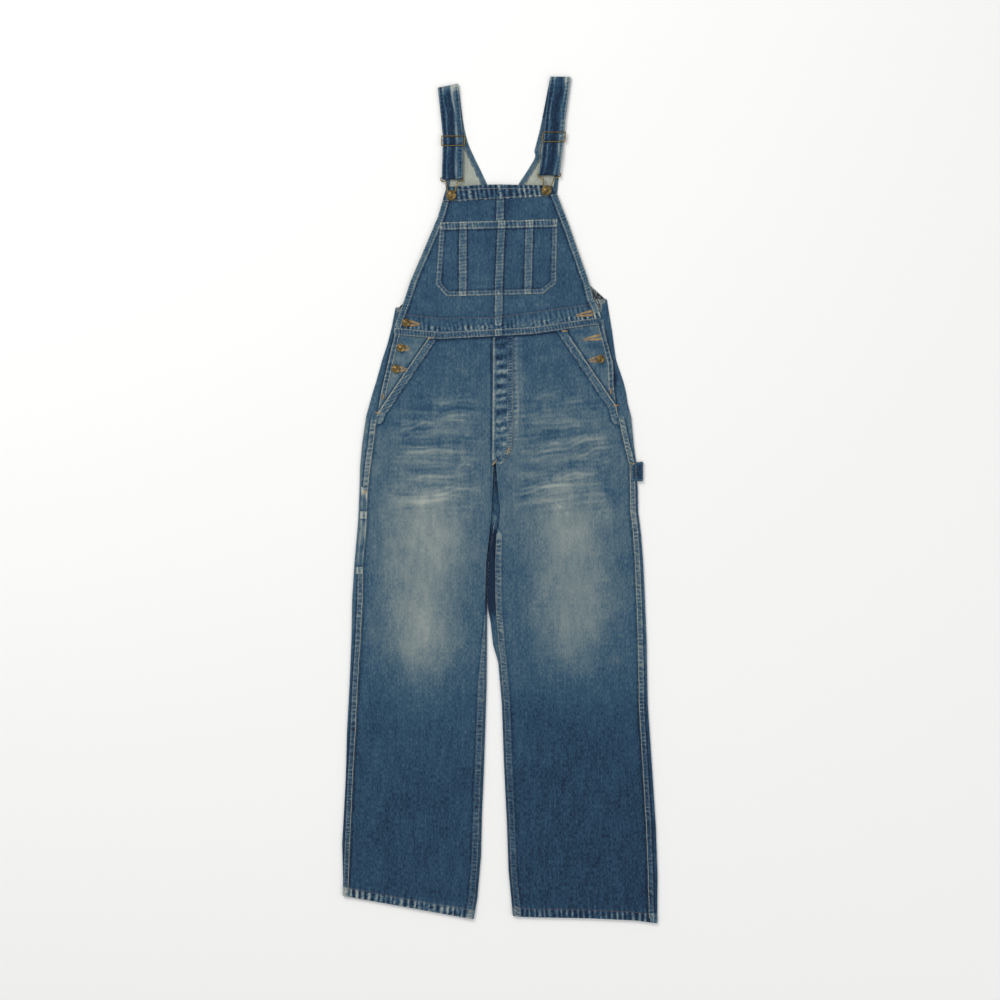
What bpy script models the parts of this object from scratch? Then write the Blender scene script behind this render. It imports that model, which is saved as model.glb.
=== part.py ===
"""Denim bib overalls, laid flat with the front up.

Metres, +Z up. The garment lies on the plane z = 0. +X is to the right as seen from above and +Y
runs from the leg hems to the shoulder straps. Right and left in the names are the wearer's, so the
right leg lies at -X. Tables and sizes are in millimetres and turned to metres in add_mesh.
"""

import math

import bmesh
import bpy
import numpy as np

for old_object in list(bpy.data.objects):
    bpy.data.objects.remove(old_object, do_unlink=True)

# Driving sizes, in millimetres
WALL = 1.1
GAP = 0.3
LIFT = WALL + GAP
SEAM_RISE = 0.7
SEAM_STEP = 0.8
STRAP_WIDTH = 36.0
STRAP_WALL = 1.8
WIRE = 2.0
SLIDER_WIRE = 1.8
BIB_BUTTON = 17.0
SIDE_BUTTON = 14.7
FELLED_WIDTH = 9.6
INSEAM_WIDTH = 10.5
HEM_DEPTH = 13.0
BIB_HEM = 11.0
LOOP_WIDTH = 31.0
MOUTH_HEM = 13.0
PLAIN_EDGE = 8.0
SEAM_STRIP_HALF = 6.2
BACK_HEM = 10.0
FACING_TUCK = 14.0
FACING_LAP = 6.0
PLACKET_WIDTH = 9.0
WAIST_DEPTH = 10.5
WAIST_COVER = 2.0
HOOK_RING = 8.0
TO_METRES = 0.001

# Heights of the front layer's underside over the plane it lies on
HIP_LIE = 3 * LIFT + 0.4
LEG_LIE = 3.9
FLAP_MID = 2.35
FACING_UNDER = FLAP_MID + WALL / 2 + GAP

# Centre back seam and the height at which the leg ends start to wrap round the inseam
CENTRE_BACK = -10.0
WRAP_START = -60.0
WRAP_FULL = -110.0
SLANT_START = -500.0
HIP_END = 145.0
LEAN_START = 236.0
INSEAM_START = -30.0
HEM_NOMINAL = -730.0

# One row for each section of a leg, hem last. Columns: y, outer fold, outseam, inseam, inner fold
RIGHT_LEG = np.array([
    (145, -234.7, -215.6, -10.6, -10.2),
    (100, -241.3, -220.6, -11.0, -10.2),
    (61, -245.0, -226.2, -11.2, -10.2),
    (15, -246.3, -230.8, -13.3, -10.2),
    (-35, -248.5, -232.8, -15.8, -10.2),
    (-60, -250.5, -233.8, -18.5, -13.0),
    (-110, -255.0, -238.9, -24.3, -20.8),
    (-175, -259.0, -239.8, -26.0, -22.5),
    (-250, -260.5, -243.6, -26.4, -22.8),
    (-322, -263.5, -248.2, -27.5, -23.5),
    (-405, -268.0, -252.0, -30.8, -26.0),
    (-480, -270.0, -256.5, -33.6, -28.5),
    (-547, -273.0, -259.4, -36.0, -31.5),
    (-621, -276.5, -262.7, -38.5, -33.3),
    (-693, -275.0, -265.0, -43.5, -39.5),
    (-735, -275.0, -265.5, -51.0, -47.0),
])
LEFT_LEG = np.array([
    (145, 229.8, 206.8, -10.0, -9.8),
    (100, 234.0, 216.4, -9.6, -9.8),
    (61, 239.0, 226.2, -7.0, -9.8),
    (15, 241.5, 227.3, -3.0, -9.8),
    (-20, 242.0, 227.9, 0.6, -9.8),
    (-45, 245.2, 230.8, -2.0, -9.8),
    (-60, 247.0, 232.5, -6.5, -12.6),
    (-110, 250.9, 235.6, -8.6, -20.2),
    (-175, 254.0, 238.2, -8.0, -22.0),
    (-192, 254.6, 238.8, -7.0, -20.8),
    (-215, 255.5, 239.6, -5.5, -16.5),
    (-254, 257.0, 240.7, -2.6, -12.0),
    (-285, 257.4, 241.6, 1.0, -3.0),
    (-359, 259.0, 242.4, 6.9, 3.3),
    (-464, 266.0, 248.6, 10.8, 7.0),
    (-569, 273.0, 254.9, 15.8, 12.2),
    (-651, 276.0, 257.9, 18.8, 15.0),
    (-740, 275.5, 260.2, 27.5, 23.5),
])

# One row for each section of a hip. Columns: y, outer fold, end of the back's wrapped flap
RIGHT_HIP = np.array([
    (145, -234.7, -215.9),
    (168, -228.6, -212.3),
    (189, -222.8, -208.8),
    (206, -217.2, -194.0),
    (245, -206.5, -185.0),
    (271, -197.8, -179.0),
    (298, -190.8, -173.0),
    (335, -182.8, -168.0),
])
LEFT_HIP = np.array([
    (145, 229.8, 207.1),
    (168, 223.8, 203.8),
    (189, 220.6, 200.6),
    (206, 216.5, 187.0),
    (245, 203.4, 184.5),
    (271, 199.5, 176.5),
    (298, 196.0, 169.5),
    (335, 187.0, 176.0),
])

# Outer edge of each hip facing and the slanted pocket mouth. Columns: x, y
RIGHT_FACING_EDGE = np.array([(-215.6, 145), (-208.4, 189), (-195.4, 245), (-183.7, 295), (-181.0, 304)])
LEFT_FACING_EDGE = np.array([(206.8, 145), (200.2, 189), (198.0, 240), (182.4, 298), (179.2, 310)])
RIGHT_MOUTH = np.array([(-216.2, 145), (-214.4, 152.6), (-125.8, 283.5), (-120.0, 292)])
LEFT_MOUTH = np.array([(207.4, 145), (203.5, 164.9), (115.2, 295.8), (111.0, 302)])

# Waist seam from side to side. Columns: x, y
WAIST_SEAM = np.array([
    (-186, 292), (-128, 287), (-103, 284.5), (-12, 289.5), (58, 293.5), (131, 304.5), (179, 311),
])

# Side edges and top edge of the bib. Columns: x, y
BIB_RIGHT_EDGE = np.array([
    (-94.0, 547.8), (-101.5, 521.5), (-108.5, 497), (-156.6, 385), (-170.6, 342), (-184.6, 303), (-186, 292),
])
BIB_LEFT_EDGE = np.array([
    (91.5, 550.4), (101.5, 532), (122.5, 477.8), (155.2, 385), (163.5, 352.8), (171.5, 337.8), (179, 311),
])
BIB_TOP = np.array([(-94.0, 547.8), (-22.8, 552), (1.8, 552.2), (91.5, 550.4)])

# Patch pocket on the bib, a row for each section. Columns: left x, left y, right x, right y
BIB_POCKET = np.array([
    (-104.5, 485.6, 100.0, 491.4),
    (-105.1, 473.6, 99.8, 479.4),
    (-105.2, 472.8, 99.8, 478.6),
    (-108.4, 425.0, 98.9, 429.0),
    (-112.0, 376.6, 98.0, 379.2),
    (-93.5, 356.5, 75.2, 361.0),
])

# Back bib as a ribbon round its V, from one shoulder to the other.
# Columns: inner edge x, y, outer edge x, y
BACK_BIB = np.array([
    (-65.5, 668.5, -101.5, 668.5),
    (-61.8, 647.5, -99.5, 647.5),
    (-56.2, 626.0, -98.5, 626.0),
    (-46.8, 603.8, -98.0, 600.0),
    (-34.2, 578.0, -95.5, 566.0),
    (-22.3, 553.0, -94.8, 530.0),
    (-7.0, 526.0, -106.0, 470.0),
    (-1.0, 517.0, -146.0, 390.0),
    (0.3, 515.0, -167.0, 346.0),
    (1.5, 513.0, -181.0, 339.0),
    (4.0, 511.0, -95.0, 339.0),
    (6.2, 510.5, 5.0, 343.0),
    (8.4, 511.0, 100.0, 347.0),
    (11.0, 513.0, 184.5, 350.5),
    (13.0, 515.5, 160.5, 361.0),
    (15.0, 519.0, 150.0, 390.0),
    (20.0, 531.0, 113.0, 470.0),
    (33.2, 554.5, 99.5, 530.0),
    (47.4, 576.0, 103.0, 566.0),
    (61.2, 600.0, 105.5, 600.0),
    (60.2, 611.0, 107.0, 611.0),
    (63.0, 622.0, 108.5, 624.0),
    (69.5, 647.5, 112.0, 647.5),
    (74.0, 668.5, 114.5, 668.5),
])

# Fly placket, a row for each section. Columns: y, edge at the centre front, curved edge
FLY = np.array([
    (288.0, -11.6, 22.5),
    (250.0, -12.0, 22.5),
    (190.0, -12.6, 22.5),
    (140.0, -13.0, 22.5),
    (104.0, -13.3, 22.3),
    (87.0, -13.5, 20.0),
    (77.0, -13.6, 15.5),
    (69.0, -13.7, 9.5),
    (63.5, -13.8, 2.5),
])

# Lower edge of the left hem. Columns: x, y
LEFT_HEM = np.array([(23.5, -728.5), (50, -730.5), (158, -732.4), (234.5, -736), (275.5, -741)])
RIGHT_HEM = np.array([(-275, -693), (-47, -734)])

# Soft folds of the legs. Columns: x, y, direction in degrees, half length, half width, height
FOLDS = np.array([
    (-150, 28, 12, 95, 26, 0.45),
    (-90, 60, 168, 70, 24, -0.40),
    (-170, -85, 82, 80, 30, 0.45),
    (-100, -140, 75, 90, 34, -0.45),
    (-190, -250, 8, 70, 28, 0.40),
    (-110, -330, 95, 110, 30, 0.45),
    (-180, -450, 88, 120, 30, -0.45),
    (-90, -560, 92, 100, 28, 0.40),
    (189, 12, 115, 60, 22, -0.55),
    (150, 34, 170, 90, 26, 0.45),
    (90, 60, 14, 60, 24, -0.35),
    (120, -120, 96, 90, 34, 0.45),
    (190, -230, 84, 90, 28, -0.45),
    (100, -340, 90, 110, 32, 0.40),
    (180, -470, 92, 110, 30, 0.45),
    (90, -600, 86, 90, 28, -0.40),
])

# Shoulder straps. Columns of the run: y, middle x
RIGHT_STRAP = np.array([(725.0, -91.0), (668.0, -85.2), (636.5, -82.2), (600.0, -82.8), (561.0, -84.0)])
LEFT_STRAP = np.array([(740.6, 105.9), (668.0, 96.6), (634.0, 94.4), (600.0, 90.2), (568.4, 86.0)])
STRAP_START = 669.0
RIGHT_SLIDER_Y = 628.7
LEFT_SLIDER_Y = 635.4
SLIDER_HALF = 8.2

# Buttons. Columns: x, y
RIGHT_BIB_BUTTON = (-85.2, 533.0)
LEFT_BIB_BUTTON = (81.4, 541.5)
RIGHT_WAIST_BUTTON = (-164.2, 310.0)
RIGHT_SIDE_BUTTON_A = (-173.3, 266.5)
RIGHT_SIDE_BUTTON_B = (-182.4, 229.4)
LEFT_SIDE_BUTTON = (175.7, 246.8)


# Materials

def make_material(name, colour, roughness, metallic):
    """A Principled material of one plain colour."""
    material = bpy.data.materials.new(name)
    material.use_nodes = True
    shader = material.node_tree.nodes["Principled BSDF"]
    shader.inputs["Base Color"].default_value = (*colour, 1.0)
    shader.inputs["Roughness"].default_value = roughness
    shader.inputs["Metallic"].default_value = metallic
    return material


DENIM = make_material("indigo_denim", (0.075, 0.16, 0.27), 0.9, 0.0)
DENIM_BACK = make_material("denim_wrong_side", (0.36, 0.40, 0.38), 0.9, 0.0)
BRASS = make_material("antique_brass", (0.32, 0.22, 0.09), 0.4, 1.0)


# Meshes from grids

def add_mesh(name, points, faces, material, smooth_angle=math.radians(50)):
    """A closed mesh object from points in millimetres, its faces turned outwards."""
    mesh = bpy.data.meshes.new(name)
    mesh.from_pydata(np.asarray(points) * TO_METRES, [], faces)
    shape = bmesh.new()
    shape.from_mesh(mesh)
    bmesh.ops.recalc_face_normals(shape, faces=shape.faces)
    shape.to_mesh(mesh)
    shape.free()
    mesh.shade_smooth()
    mesh.set_sharp_from_angle(angle=smooth_angle)
    mesh.materials.append(material)
    made = bpy.data.objects.new(name, mesh)
    bpy.context.scene.collection.objects.link(made)
    return made


def add_sheet(name, under, over, material):
    """Cloth as a closed wall between two grids of rows and columns of points."""
    rows, columns = under.shape[:2]
    index = np.arange(rows * columns).reshape(rows, columns)
    faces = []
    for offset, flip in ((0, True), (rows * columns, False)):
        grid = index + offset
        quads = np.stack([grid[:-1, :-1], grid[:-1, 1:], grid[1:, 1:], grid[1:, :-1]], axis=-1)
        quads = quads.reshape(-1, 4)
        faces += (quads[:, ::-1] if flip else quads).tolist()
    rim = np.concatenate([index[0, :], index[1:, -1], index[-1, -2::-1], index[-2:0:-1, 0]])
    following = np.roll(rim, -1)
    shift = rows * columns
    faces += np.stack([rim, following, following + shift, rim + shift], axis=-1).tolist()
    points = np.concatenate([under.reshape(-1, 3), over.reshape(-1, 3)])
    return add_mesh(name, points, faces, material)


def add_tube(name, route, radius, material, sides=8, closed=False):
    """A round wire along a route of points, with flat ends or closed on itself."""
    route = np.asarray(route, dtype=float)
    if closed:
        tangents = np.roll(route, -1, axis=0) - np.roll(route, 1, axis=0)
    else:
        tangents = np.gradient(route, axis=0)
    tangents /= np.linalg.norm(tangents, axis=1)[:, None]
    up = np.array([0.0, 0.0, 1.0])
    side = np.cross(tangents, up)
    side /= np.linalg.norm(side, axis=1)[:, None]
    lift = np.cross(side, tangents)
    turn = np.arange(sides) * 2 * math.pi / sides
    rings = (route[:, None, :] + radius * np.cos(turn)[None, :, None] * side[:, None, :]
             + radius * np.sin(turn)[None, :, None] * lift[:, None, :])
    count = len(route)
    index = np.arange(count * sides).reshape(count, sides)
    spans = count if closed else count - 1
    faces = []
    for ring in range(spans):
        here = index[ring]
        ahead = index[(ring + 1) % count]
        faces += np.stack([here, np.roll(here, -1), np.roll(ahead, -1), ahead], axis=-1).tolist()
    if not closed:
        faces.append(index[0][::-1].tolist())
        faces.append(index[-1].tolist())
    return add_mesh(name, rings.reshape(-1, 3), faces, material)


def add_turned(name, centre, profile, material, sides=20):
    """A solid turned about an upright axis. Profile rows are radius and height, on the axis at both ends."""
    x, y = centre
    turn = np.arange(sides) * 2 * math.pi / sides
    points = [(x, y, profile[0][1])]
    for radius, height in profile[1:-1]:
        points += [(x + radius * math.cos(t), y + radius * math.sin(t), height) for t in turn]
    points.append((x, y, profile[-1][1]))
    ring_count = len(profile) - 2
    index = 1 + np.arange(ring_count * sides).reshape(ring_count, sides)
    faces = [(0, int(a), int(b)) for a, b in zip(index[0], np.roll(index[0], -1))]
    for here, ahead in zip(index[:-1], index[1:]):
        faces += np.stack([here, ahead, np.roll(ahead, -1), np.roll(here, -1)], axis=-1).tolist()
    last = len(points) - 1
    faces += [(last, int(b), int(a)) for a, b in zip(index[-1], np.roll(index[-1], -1))]
    return add_mesh(name, points, faces, material)


# Heights

def ease(value, low, high):
    """Smooth step from 0 at low to 1 at high."""
    part = np.clip((value - low) / (high - low), 0.0, 1.0)
    return part * part * (3 - 2 * part)


def fold_height(x, y):
    """Sum of the soft folds: each a ridge or trough that fades along and across its direction."""
    total = np.zeros(np.broadcast(x, y).shape)
    for middle_x, middle_y, degrees, half_length, half_width, height in FOLDS:
        angle = math.radians(degrees)
        along = (x - middle_x) * math.cos(angle) + (y - middle_y) * math.sin(angle)
        across = (y - middle_y) * math.cos(angle) - (x - middle_x) * math.sin(angle)
        total = total + height * np.exp(-(along / half_length) ** 2 - (across / half_width) ** 2)
    return total


def lie(x, y):
    """Height of the front layer's underside: steady at the hips and bib, folded softly on the legs."""
    hip = ease(y, 60.0, 135.0)
    return LEG_LIE + (HIP_LIE - LEG_LIE) * hip + (1 - hip) * fold_height(x, y)


def column(table, key, value):
    """Value of a table's column at a place along its key column."""
    order = np.argsort(table[:, key])
    return lambda place: np.interp(place, table[order, key], table[order, value])


waist_y = column(WAIST_SEAM, 0, 1)


def hem_y(x, hem):
    """Height on the page of a leg's hem, which slants across the leg."""
    order = np.argsort(hem[:, 0])
    return np.interp(x, hem[order, 0], hem[order, 1])


def slant_rows(nominal, x, hem):
    """Rows below SLANT_START lean over evenly until the last one is the hem."""
    share = np.clip((SLANT_START - nominal) / (SLANT_START - HEM_NOMINAL), 0.0, 1.0)
    return np.where(nominal < SLANT_START, SLANT_START + share * (hem_y(x, hem) - SLANT_START), nominal)


# How far the wrapped flaps' top edges fall for each millimetre inward
FLAP_SLOPE = 0.7


def back_top_y(x):
    """Line where the back legs end and the back bib starts."""
    return 337.5 + 14.9 * (x + 182.6) / 369.2


# Back panels of the legs

LEG_ROWS = [HIP_END, 120.0, 90.0, 61.0, 25.0, -16.0, -45.0, -60.0, -85.0, -110.0, -140.0, -175.0, -215.0,
            -254.0, -290.0, -330.0, -375.0, -425.0, -475.0, -530.0, -590.0, -650.0, -700.0,
            HEM_NOMINAL + HEM_DEPTH + SEAM_STEP, HEM_NOMINAL + HEM_DEPTH, HEM_NOMINAL]
HIP_ROWS = [335.0, 310.0, 285.0, 265.0, 245.0, 206.0, 189.0, 168.0]


def back_section(side, row_y, leg, hip, hem):
    """One section of a back panel: points, the way out of the cloth, and the seam's rise on each.

    The line runs from the outseam out over the top, round the outer fold, in along the plane it
    lies on, and, on the leg, up round the inner fold to the inseam.
    """
    in_hip = row_y > HIP_END
    table = hip if in_hip else leg
    fold = float(column(table, 0, 1)(row_y))
    seam = float(column(table, 0, 2)(row_y)) + side * GAP / 2
    high_level = lie(seam, row_y) + WALL / 2
    flap_mid = high_level + (FLAP_MID - high_level) * float(ease(row_y, 147.0, 188.0))
    floor_mid = WALL / 2
    rise = (flap_mid - floor_mid) / 2
    reach = min(2.2, 1.25 * rise + 0.5)
    centre_x = fold - side * (WALL / 2 + reach)
    width = abs(centre_x - seam)
    band = min(FELLED_WIDTH, 0.55 * width)
    rows = []
    for share in (0.0, band - SEAM_STEP, band, (band + width) / 2):
        x = seam + side * share
        raised = SEAM_RISE if share < band - SEAM_STEP / 2 and not in_hip else 0.0
        level = flap_mid if in_hip else lie(x, row_y) + WALL / 2
        rows.append((x, level, raised))
    middle_z = (flap_mid + floor_mid) / 2
    for degrees in (90, 45, 0, -45, -90):
        angle = math.radians(degrees)
        rows.append((centre_x + side * reach * math.cos(angle), middle_z + rise * math.sin(angle), 0.0))
    wrap = float(ease(-row_y, -WRAP_START, -WRAP_FULL))
    flat_end = CENTRE_BACK + side * GAP / 2
    inseam = float(column(leg, 0, 3)(row_y))
    inner = float(column(leg, 0, 4)(row_y))
    inner_level = lie(inseam, row_y) + WALL / 2
    inner_rise = (inner_level - floor_mid) / 2
    inner_reach = 1.6
    inner_x = inner + side * (WALL / 2 + inner_reach)
    tail = []
    for degrees in (-90, -45, 0, 45, 90):
        angle = math.radians(degrees)
        tail.append((inner_x - side * inner_reach * math.cos(angle),
                     floor_mid + inner_rise * (1 + math.sin(angle))))
    tail.append((inseam - side * GAP / 2, inner_level))
    tail = np.array(tail)
    flat = np.stack([np.linspace(flat_end + side * 6.0, flat_end, 6), np.full(6, floor_mid)], axis=1)
    tail = flat + (tail - flat) * wrap
    run_start = centre_x
    run_end = tail[0, 0]
    for share in (0.12, 0.34, 0.56, 0.78, 0.93):
        rows.append((run_start + (run_end - run_start) * share, floor_mid, 0.0))
    rows += [(x, z, 0.0) for x, z in tail]
    line = np.array(rows)
    run = np.gradient(line[:, :2], axis=0)
    run /= np.linalg.norm(run, axis=1)[:, None]
    outward = np.stack([-run[:, 1], run[:, 0]], axis=1) * side
    return line[:, :2], outward, line[:, 2]


def add_back_leg(name, side, leg, hip, hem):
    """A back panel, one wall that folds over both edges of the leg to the seams on top."""
    under = []
    over = []
    for row_y in HIP_ROWS + LEG_ROWS:
        line, outward, raised = back_section(side, row_y, leg, hip, hem)
        rise = raised.copy()
        if row_y < HEM_NOMINAL + HEM_DEPTH + SEAM_STEP / 2:
            rise = np.where(outward[:, 1] > 0.5, SEAM_RISE, 0.0)
        inside = line - outward * WALL / 2
        outside = line + outward * (WALL / 2 + rise[:, None])
        page_y = slant_rows(np.full(len(line), row_y), line[:, 0], hem)
        if row_y == HIP_ROWS[0]:
            page_y = back_top_y(line[:, 0]) - GAP / 2
            fold = int(np.argmax(side * line[:, 0]))
            page_y[:fold] -= FLAP_SLOPE * np.abs(line[:fold, 0] - line[fold, 0])
        under.append(np.stack([inside[:, 0], page_y, inside[:, 1]], axis=1))
        over.append(np.stack([outside[:, 0], page_y, outside[:, 1]], axis=1))
    return add_sheet(name, np.array(under), np.array(over), DENIM)


# Panels laid over the back

def sheet_from_page(name, page_x, page_y, under_z, raised, material=DENIM):
    """A panel from grids of places and of its underside's height, its outer points raised on hems."""
    under = np.stack([page_x, page_y, under_z], axis=-1)
    over = np.stack([page_x, page_y, under_z + WALL + raised], axis=-1)
    return add_sheet(name, under, over, material)


def add_front_leg(name, side, leg, mouth, hem, waist_inner):
    """A front panel from the waist seam to the hem, between the pocket mouth or outseam and the inseam."""
    hip_rows = [290.0, 262.0, LEAN_START, 210.0, 189.0, 168.0]
    outer_edge = column(leg, 0, 2)
    inner_edge = column(leg, 0, 3)
    mouth_x = column(mouth, 1, 0)
    page_x, page_y, raised = [], [], []
    for row_y in hip_rows + LEG_ROWS:
        in_hip = row_y > HIP_END
        outer = float(mouth_x(row_y) if in_hip else outer_edge(row_y)) - side * GAP / 2
        inner = waist_inner if in_hip else float(inner_edge(row_y))
        inner += side * GAP / 2
        span = inner - outer
        outer_band = MOUTH_HEM if in_hip else PLAIN_EDGE
        inner_band = INSEAM_WIDTH if row_y < INSEAM_START else PLAIN_EDGE
        steps = [0.0, outer_band - SEAM_STEP, outer_band]
        steps += [outer_band + (abs(span) - outer_band - inner_band) * share
                  for share in (0.17, 0.34, 0.5, 0.66, 0.83)]
        steps += [abs(span) - inner_band, abs(span) - inner_band + SEAM_STEP, abs(span)]
        row_x = outer - side * np.array(steps)
        rise = np.zeros(len(steps))
        if in_hip:
            rise[:2] = SEAM_RISE
        if row_y < INSEAM_START:
            rise[-2:] = SEAM_RISE
        if row_y < HEM_NOMINAL + HEM_DEPTH + SEAM_STEP / 2:
            rise[:] = SEAM_RISE
        row_page_y = slant_rows(np.full(len(steps), row_y), row_x, hem)
        if row_y > LEAN_START:
            lean = (row_y - LEAN_START) / (hip_rows[0] - LEAN_START)
            row_page_y = LEAN_START + lean * (waist_y(row_x) - GAP / 2 - LEAN_START)
        page_x.append(row_x)
        page_y.append(row_page_y)
        raised.append(rise)
    page_x, page_y, raised = np.array(page_x), np.array(page_y), np.array(raised)
    return sheet_from_page(name, page_x, page_y, lie(page_x, page_y), raised)


def add_hip_facing(name, side, edge, mouth):
    """The facing behind a slanted pocket mouth, from the side opening to just under the front."""
    rows = [145.6, 168.0, 189.0, 215.0, 240.0, 262.0, 280.0, 302.0]
    outer_edge = column(edge, 1, 0)
    mouth_x = column(mouth, 1, 0)
    page_x = []
    for row_y in rows:
        outer = float(outer_edge(row_y)) - side * GAP / 2
        inner = float(mouth_x(min(row_y, 292.0))) - side * FACING_TUCK
        page_x.append(np.linspace(outer, inner, 5))
    page_x = np.array(page_x)
    page_y = np.repeat(np.array(rows)[:, None], 5, axis=1)
    page_y[-1] = waist_y(page_x[-1]) + FACING_LAP
    under = np.full(page_x.shape, FACING_UNDER)
    return sheet_from_page(name, page_x, page_y, under, np.zeros(page_x.shape))


def add_side_placket(name, side, edge, top_y, end_y):
    """The hem of the side opening, a narrow strip folded onto the facing's edge."""
    rows = np.linspace(top_y, end_y, 6)
    outer_edge = column(edge, 1, 0)
    page_x = np.array([outer_edge(y) - side * (0.4 + np.array([0.0, PLACKET_WIDTH / 2, PLACKET_WIDTH])) for y in rows])
    page_y = np.repeat(rows[:, None], 3, axis=1)
    page_y[0] = waist_y(page_x[0]) - GAP
    under = np.full(page_x.shape, FACING_UNDER + LIFT)
    return sheet_from_page(name, page_x, page_y, under, np.zeros(page_x.shape))


def bib_columns(left, right, centre):
    """Places across one row of the bib: side hems, centre seam and plain cloth between."""
    seam = SEAM_STRIP_HALF
    hem_left = [left, left + BIB_HEM - SEAM_STEP, left + BIB_HEM]
    hem_right = [right - BIB_HEM, right - BIB_HEM + SEAM_STEP, right]
    inner_left = np.linspace(left + BIB_HEM, centre - seam - SEAM_STEP, 5)[1:]
    inner_right = np.linspace(centre + seam + SEAM_STEP, right - BIB_HEM, 5)[:-1]
    return np.concatenate([hem_left, inner_left, [centre - seam, centre + seam], inner_right, hem_right])


def add_bib():
    """The bib, from its top edge to the waist seam, with side hems and a felled centre seam raised."""
    shares = [0.0, 0.06, 0.13, 0.2, 0.3, 0.4, 0.5, 0.62, 0.74, 0.86, 0.94, 1.0]
    page_x, page_y = [], []
    left_x, right_x = column(BIB_RIGHT_EDGE, 1, 0), column(BIB_LEFT_EDGE, 1, 0)
    top = column(BIB_TOP, 0, 1)
    for share in shares:
        left_row = 547.8 + share * (292.0 - 547.8)
        right_row = 550.4 + share * (311.0 - 550.4)
        left, right = float(left_x(left_row)), float(right_x(right_row))
        row_x = bib_columns(left, right, 1.0 - 4.5 * share)
        across = (row_x - left) / (right - left)
        straight = left_row + across * (right_row - left_row)
        top_line = 547.8 + across * (550.4 - 547.8)
        top_rise = top(row_x) - top_line
        waist_line = 292.0 + across * (311.0 - 292.0)
        waist_drop = waist_y(row_x) + GAP / 2 - waist_line
        page_x.append(row_x)
        page_y.append(straight + (1 - share) ** 3 * top_rise + share ** 2 * waist_drop)
    page_x, page_y = np.array(page_x), np.array(page_y)
    raised = np.zeros(page_x.shape)
    raised[:, :2] = SEAM_RISE
    raised[:, -2:] = SEAM_RISE
    raised[:, 7:9] = SEAM_RISE
    return sheet_from_page("bib", page_x, page_y, lie(page_x, page_y), raised)


# Height of the bib's face, and of what lies on its raised seams
BIB_FACE = HIP_LIE + WALL
ON_BIB = BIB_FACE + SEAM_RISE + GAP


def add_bib_top_band():
    """The wide hem along the bib's top edge, on its face."""
    across = np.linspace(0.0, 1.0, 13)
    top_x = -93.6 + across * (91.1 + 93.6)
    top_line = column(BIB_TOP, 0, 1)(top_x)
    low_x = -100.9 + across * (100.6 + 100.9)
    low_line = np.interp(across, [0.0, 0.5, 1.0], [521.0, 526.8, 532.3])
    page_x = np.stack([top_x, (top_x + low_x) / 2, low_x])
    page_y = np.stack([top_line, (top_line + low_line) / 2, low_line])
    return sheet_from_page("bib_top_band", page_x, page_y, np.full(page_x.shape, ON_BIB),
                           np.zeros(page_x.shape))


def add_bib_pocket():
    """The patch pocket with cut lower corners and three stitched strips raised down it."""
    strips = (0.135, 0.305, 0.45)
    page_x, page_y, raised = [], [], []
    for row, (left, left_y, right, right_y) in enumerate(BIB_POCKET):
        span = right - left
        row_x = [left]
        rise = [0.0]
        for share in strips:
            middle = BIB_POCKET[0, 0] + share * (BIB_POCKET[0, 2] - BIB_POCKET[0, 0]) - 0.6 * row
            squeeze = max(0.0, (left + 3.0) - (middle - SEAM_STRIP_HALF - SEAM_STEP))
            middle += squeeze
            row_x += [middle - SEAM_STRIP_HALF - SEAM_STEP, middle - SEAM_STRIP_HALF,
                      middle + SEAM_STRIP_HALF, middle + SEAM_STRIP_HALF + SEAM_STEP]
            rise += [0.0, SEAM_RISE, SEAM_RISE, 0.0]
        rest = row_x[-1]
        row_x += [rest + (right - rest) * 0.5, right]
        rise += [0.0, 0.0]
        across = (np.array(row_x) - left) / span
        page_x.append(row_x)
        page_y.append(left_y + across * (right_y - left_y))
        raised.append([SEAM_RISE] * len(rise) if row < 2 else rise)
    page_x, page_y, raised = np.array(page_x), np.array(page_y), np.array(raised)
    return sheet_from_page("bib_pocket", page_x, page_y, np.full(page_x.shape, ON_BIB), raised)


def add_waist_seam():
    """The felled seam across the waist, over the bib's lower edge and the tops of the fronts."""
    row_x = np.linspace(-184.5, 177.5, 21)
    low = waist_y(row_x) - WAIST_COVER
    page_x = np.stack([row_x, row_x, row_x])
    page_y = np.stack([low + WAIST_DEPTH, low + WAIST_DEPTH / 2, low])
    return sheet_from_page("waist_seam", page_x, page_y, np.full(page_x.shape, ON_BIB),
                           np.zeros(page_x.shape))


def add_fly_placket():
    """The placket sewn on the left front beside the centre, with its curved lower end."""
    page_x = np.array([[row[1], row[1] + 2.4, (row[1] + row[2]) / 2, row[2]] for row in FLY])
    page_y = np.repeat(FLY[:, 0:1], 4, axis=1)
    page_y[0] = waist_y(page_x[0]) - WAIST_COVER - GAP
    under = np.maximum(lie(page_x, page_y), lie(page_x, page_y - 8.0)) + LIFT
    return sheet_from_page("fly_placket", page_x, page_y, under, np.zeros(page_x.shape))


def add_back_bib():
    """The high back with its V, as a ribbon of sections from one shoulder round to the other."""
    page_x, page_y, raised = [], [], []
    for inner_x, inner_y, outer_x, outer_y in BACK_BIB:
        inner = np.array([inner_x, inner_y])
        outer = np.array([outer_x, outer_y])
        if outer_y < 352.0:
            outer[1] = back_top_y(outer_x) + GAP / 2
        length = np.linalg.norm(outer - inner)
        shares = np.array([0.0, BACK_HEM / length, (BACK_HEM + SEAM_STEP) / length, 0.45, 0.72, 1.0])
        row = inner + shares[:, None] * (outer - inner)
        page_x.append(row[:, 0])
        page_y.append(row[:, 1])
        raised.append([SEAM_RISE, SEAM_RISE, 0.0, 0.0, 0.0, 0.0])
    page_x, page_y, raised = np.array(page_x), np.array(page_y), np.array(raised)
    return sheet_from_page("back_bib", page_x, page_y, np.zeros(page_x.shape), raised, DENIM_BACK)


# Straps and their hardware

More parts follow.
